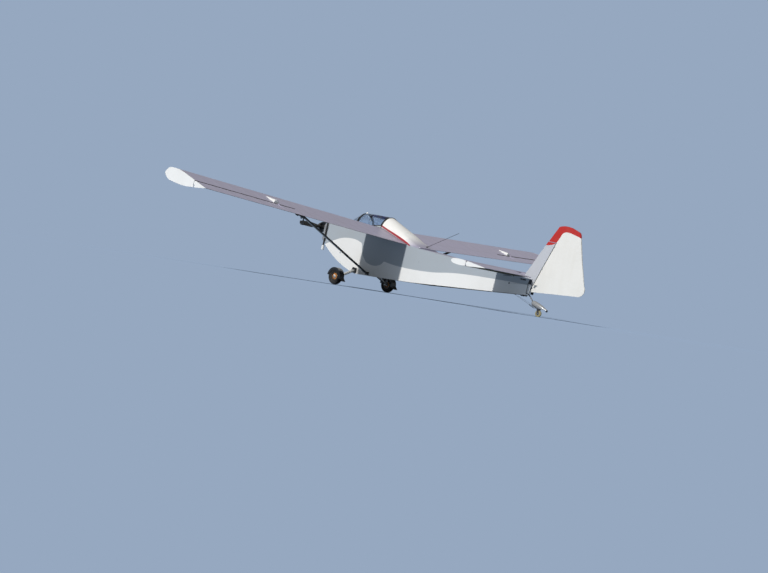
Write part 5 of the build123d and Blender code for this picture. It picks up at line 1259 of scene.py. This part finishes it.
def buildPad(name):
    look = padLooks[name]
    deep, thick, half, base = look["deep"], look["thick"], look["half"], Vector(look["foot"])
    along = Vector(look["slope"]).normalized()
    up = along.cross(port) * look["crown"]
    shape = bmesh.new()
    corners = []
    for level in (0.002, thick + 0.002):
        for a, b in ((padShape["inset"], -half), (deep, -half), (deep, half), (padShape["inset"], half)):
            corners.append(shape.verts.new(base + along * a + port * b + up * level))
    for picks in ((0, 1, 2, 3), (4, 5, 6, 7), (0, 1, 5, 4), (1, 2, 6, 5), (2, 3, 7, 6), (3, 0, 4, 7)):
        shape.faces.new([corners[i] for i in picks])
    bmesh.ops.recalc_face_normals(shape, faces=shape.faces)
    bmesh.ops.bevel(shape, geom=shape.edges[:], offset=0.01, segments=3, affect="EDGES")
    data = bpy.data.meshes.new(name)
    shape.to_mesh(data)
    shape.free()
    piece = placed(name, data)
    remesh = piece.modifiers.new("remesh", "REMESH")
    remesh.mode, remesh.voxel_size = "VOXEL", padShape["voxel"]
    data = baked(piece)
    piece.modifiers.clear()
    piece.data = data
    start = [vert.co.copy() for vert in data.vertices]
    swell = piece.modifiers.new("swell", "CLOTH")
    swell.settings.use_pressure = True
    swell.settings.uniform_pressure_force = padShape["pressure"]
    swell.settings.effector_weights.gravity = 0
    swell.point_cache.frame_start, swell.point_cache.frame_end = 1, padShape["frames"]
    for moment in range(1, padShape["frames"] + 1):
        bpy.context.scene.frame_set(moment)
    for vert, moved, rest in zip(data.vertices, baked(piece).vertices, start):
        step = moved.co - rest
        vert.co = rest + step * min(1.0, look["cap"] / max(step.length, 1e-9))
    piece.modifiers.clear()
    bpy.context.scene.frame_set(1)
    # the foot stays flat where it rests, the crown rises to the middle, and the sewn channels pull in
    middle = deep / 2
    for vert in data.vertices:
        place = vert.co - base
        a, b, c = place.dot(along), place.y, place.dot(up)
        edge = max(0.0, 1 - abs(a - middle) / middle) * max(0.0, 1 - abs(b) / half)
        lift = max(0.0, (c / thick - 0.5) * 2) * padShape["lift"] * min(1.0, 2.2 * edge ** 0.5)
        for channel in look["channels"]:
            dent = math.exp(-((b - channel) / padShape["channelWidth"]) ** 2)
            lift -= max(0.0, (c / thick - 0.4)) * padShape["channelDepth"] * dent
        vert.co = base + along * a + port * b + up * (max(c, 0.0006) + lift)
    piece.modifiers.new("smooth", "SUBSURF").levels = 1
    data = baked(piece)
    bpy.data.objects.remove(piece)
    data.materials.clear()
    data.materials.append(finishes["cushion"].material)
    made = seat(name, data, "airframe", 80.0)
    data.name = made.name = name
    if look["replaces"]:
        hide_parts(look["replaces"])
    # piping and stitches round the crown, laid on the finished pad
    tree = rayTree(data, parked.inverted())
    centre = base + along * middle + up * (thick * 0.86)
    path = []
    for turn in ring(112):
        across, far = math.cos(turn), math.sin(turn)
        reach = (port * across * half + along * far * middle) / max(abs(across), abs(far)) ** 0.86
        spot, normal, _, _ = tree.ray_cast(centre + reach * 1.6, -reach.normalized())
        path.append(spot + normal * 0.0012)
    trim = Kit(name + "Piping")
    trim.tube("piping", path + path[:1], 0.0032, 8)
    trim.done("cushion_cloth")
    stitches = []
    for channel in look["channels"]:
        stations = steps(deep * 0.08, deep * 0.94, 24)
        hits = [tree.ray_cast(base + along * a + port * channel + up * 0.3, -up) for a in stations]
        stitches.append([(spot + normal * 0.0004, normal) for spot, normal, _, _ in hits if spot])
    if stitches:
        grown(name + "Stitches", "row", stitches, stitchLook, "airframe")


# Rows of fasteners laid on the skins by rays: spacing, head size and height, body, slot, and if mirrored
rowLooks = {
    "hullScrews": (0.06, 0.0042, 0.0014, "airframe", "hull_paint", True),
    "cowlScrews": (0.07, 0.0052, 0.0018, "airframe", "cowl_metal", True),
    "glassScrews": (0.045, 0.0034, 0.0013, "airframe", "canopy_trim", True),
    "canopyScrews": (0.05, 0.003, 0.0012, "canopy", "canopy_trim", False),
}
# Tapes over the ribs of the upper skin, one outline for the inner bays and one ahead of the aileron
tapeLooks = {
    "ribTapeInner": {"y": 0.9, "from": 0.014, "count": 7},
    "ribTapeOuter": {"y": 3.34, "from": 0.3, "count": 6},
}


def flank(x, z, count=16):
    # lines onto the port side, with x and z running from the first value to the second
    return [((a, 0.6, b), -port) for a, b in zip(steps(*x, count), steps(*z, count))]


def deckLine(x, y, count=16, height=0.5):
    # lines down onto a deck
    return [((a, b, height), -upward) for a, b in zip(steps(*x, count), steps(*y, count))]


def buildRows():
    lines = {
        "hullScrews": [
            ("side_panel_port", flank((2.078, 2.078), (-0.33, 0.085), 24)),
            ("side_panel_port", flank((1.57, 1.25), (-0.62, -0.62 - 0.129 * 0.32 / 0.42))),
            ("side_panel_port", flank((2.07, 1.6), (-0.345, -0.345 - 0.275 * 0.47 / 0.49))),
            ("nose_deck", deckLine((2.078, 1.815), (0.275, 0.275))),
            ("nose_deck", deckLine((2.08, 2.08), (0.27, 0.0))),
            ("turtle_deck", flank((0.05, -0.27), (0.0155, 0.0123))),
            ("turtle_deck", inward(0.716, steps(0.25, 1.5, 24), 0.16, 0.31)),
            ("aft_fuselage", flank((0.735, 0.735), (-0.715, -0.705), 2))],
        "cowlScrews": [
            ("nose_cowl", flank((2.112, 2.112), (-0.29, 0.05), 20)),
            ("nose_cowl", deckLine((2.112, 2.112), (0.22, 0.11), 10, 0.6)),
            ("nose_cowl", flank((2.335, 2.335), (-0.24, 0.01), 20))],
        "glassScrews": [
            ("windscreen", flank((1.785, 1.44), (0.1 + 0.03 * 0.005 / 0.36, 0.1 + 0.03 * 0.35 / 0.36))),
            ("windscreen_bow", inward(1.42, steps(0.05, 1.5, 24), 0.14))],
        "canopyScrews": [
            ("canopy_frame", flank((0.79, 1.38), (0.258 - 0.116 * 0.04 / 0.67, 0.258 - 0.116 * 0.63 / 0.67),
            20))],
    }
    for name, (spacing, size, height, body, slotName, mirror) in rowLooks.items():
        paths = [trace(*line) for line in lines[name]]
        values = {"Spacing": spacing, "Head length": size, "Head width": size, "Head height": height,
                  "Finish": finishes["steel"].material}
        grown(name, "row", [path for path in paths if len(path) > 1], values, body, mirror)
    for name, look in tapeLooks.items():
        found = trace("wing_port", deckLine((1.035, look["from"]), (look["y"], look["y"]), 26, 1.0))
        values = {"Count": look["count"], "Step": (0, 0.305, 0.305 * wingRise), "Width": 0.022,
            "Thickness": 0.0008, "Finish": finishes["wing"].material}
        grown(name, "tape", [[(spot + normal * 0.0002, normal) for spot, normal in found]], values,
            "airframe", True)


buildEngine()
buildWheels()
buildStruts()
print("stage: engine, wheels and struts")
buildTail()
buildGapTape()
buildAileronRods()
buildHullFittings()
buildCabin()
print("stage: tail, rods, hull and cockpit fittings")
for padName in padLooks:
    buildPad(padName)
print("stage: padded pieces")
buildRows()
print("stage: rows of screws and tapes")


# Floor, backdrop and light
stageLook = {
    "backdrop": srgb(150, 168, 192), "floor": (0.34, 0.437, 0.588, 1), "fadeFrom": 3.5, "fadeTo": 9.0,
    "size": 120.0, "sky": (0.93, 0.96, 1.0, 1), "world": 0.22,
    # azimuth, elevation, strength and spread
    "lamps": {"keyLight": (95.0, 40.0, 3.3, 3.0), "fillLight": (200.0, 25.0, 0.15, 40.0)},
}


def blendShaders(tree, share, first, second, output):
    mixed = put(tree, "MixShader", {0: share, 1: first.outputs[0], 2: second.outputs[0]})
    tree.links.new(mixed.outputs[0], output.inputs[0])


def buildStage():
    look = stageLook
    floorMesh = bpy.data.meshes.new("floor")
    half = look["size"]
    floorMesh.from_pydata([(-half, -half, 0), (half, -half, 0), (half, half, 0), (-half, half, 0)], [],
        [(0, 1, 2, 3)])
    floor = placed("floor", floorMesh)
    material = bpy.data.materials.new("floorPaint")
    material.use_nodes = True
    tree = material.node_tree
    tree.nodes.clear()
    place = put(tree, "TexCoord").outputs["Object"]
    reach = put(tree, "VectorMath", {0: place}, operation="LENGTH").outputs["Value"]
    seen = put(tree, "LightPath").outputs["Is Camera Ray"]
    far = Field(tree, reach).rise(look["fadeFrom"], look["fadeTo"]) * seen
    blendShaders(tree, far, put(tree, "BsdfDiffuse", {"Color": look["floor"]}),
        put(tree, "Emission", {"Color": look["backdrop"]}), put(tree, "OutputMaterial"))
    floorMesh.materials.append(material)

    world = bpy.data.worlds.new("studio")
    bpy.context.scene.world = world
    world.use_nodes = True
    tree = world.node_tree
    tree.nodes.clear()
    path = put(tree, "LightPath")
    seen = Field(tree, path.outputs["Is Camera Ray"]).most(path.outputs["Is Transmission Ray"])
    blendShaders(tree, seen, put(tree, "Background", {"Color": look["sky"], "Strength": look["world"]}),
        put(tree, "Background", {"Color": look["backdrop"]}), put(tree, "OutputWorld"))

    for name, (azimuth, elevation, strength, spread) in look["lamps"].items():
        lamp = bpy.data.lights.new(name, "SUN")
        lamp.energy, lamp.angle = strength, math.radians(spread)
        level = out(math.radians(azimuth), ahead, port)
        towards = out(math.radians(elevation), level)
        placed(name, lamp).rotation_euler = towards.to_track_quat("Z", "Y").to_euler()


cameraLook = {"azimuth": 130.94, "distance": 20.0, "height": 0.08, "target": (1.14, 0.0, 0.108),
    "roll": 9.0, "lens": 48.6, "sensor": 36.0}


def buildCamera():
    look = cameraLook
    data = bpy.data.cameras.new("camera")
    camera = placed("camera", data)
    target = Vector(look["target"])
    spot = target + out(math.radians(look["azimuth"]), ahead, port) * look["distance"]
    spot.z = look["height"]
    camera.location = spot
    aim = (target - spot).to_track_quat("-Z", "Y")
    camera.rotation_euler = (aim.to_matrix() @ Matrix.Rotation(math.radians(look["roll"]), 3, "Z")).to_euler()
    data.lens, data.sensor_width = look["lens"], look["sensor"]
    bpy.context.scene.camera = camera


buildStage()
buildCamera()
bpy.context.scene.view_settings.view_transform = "Standard"
print("stage: floor, light and camera")
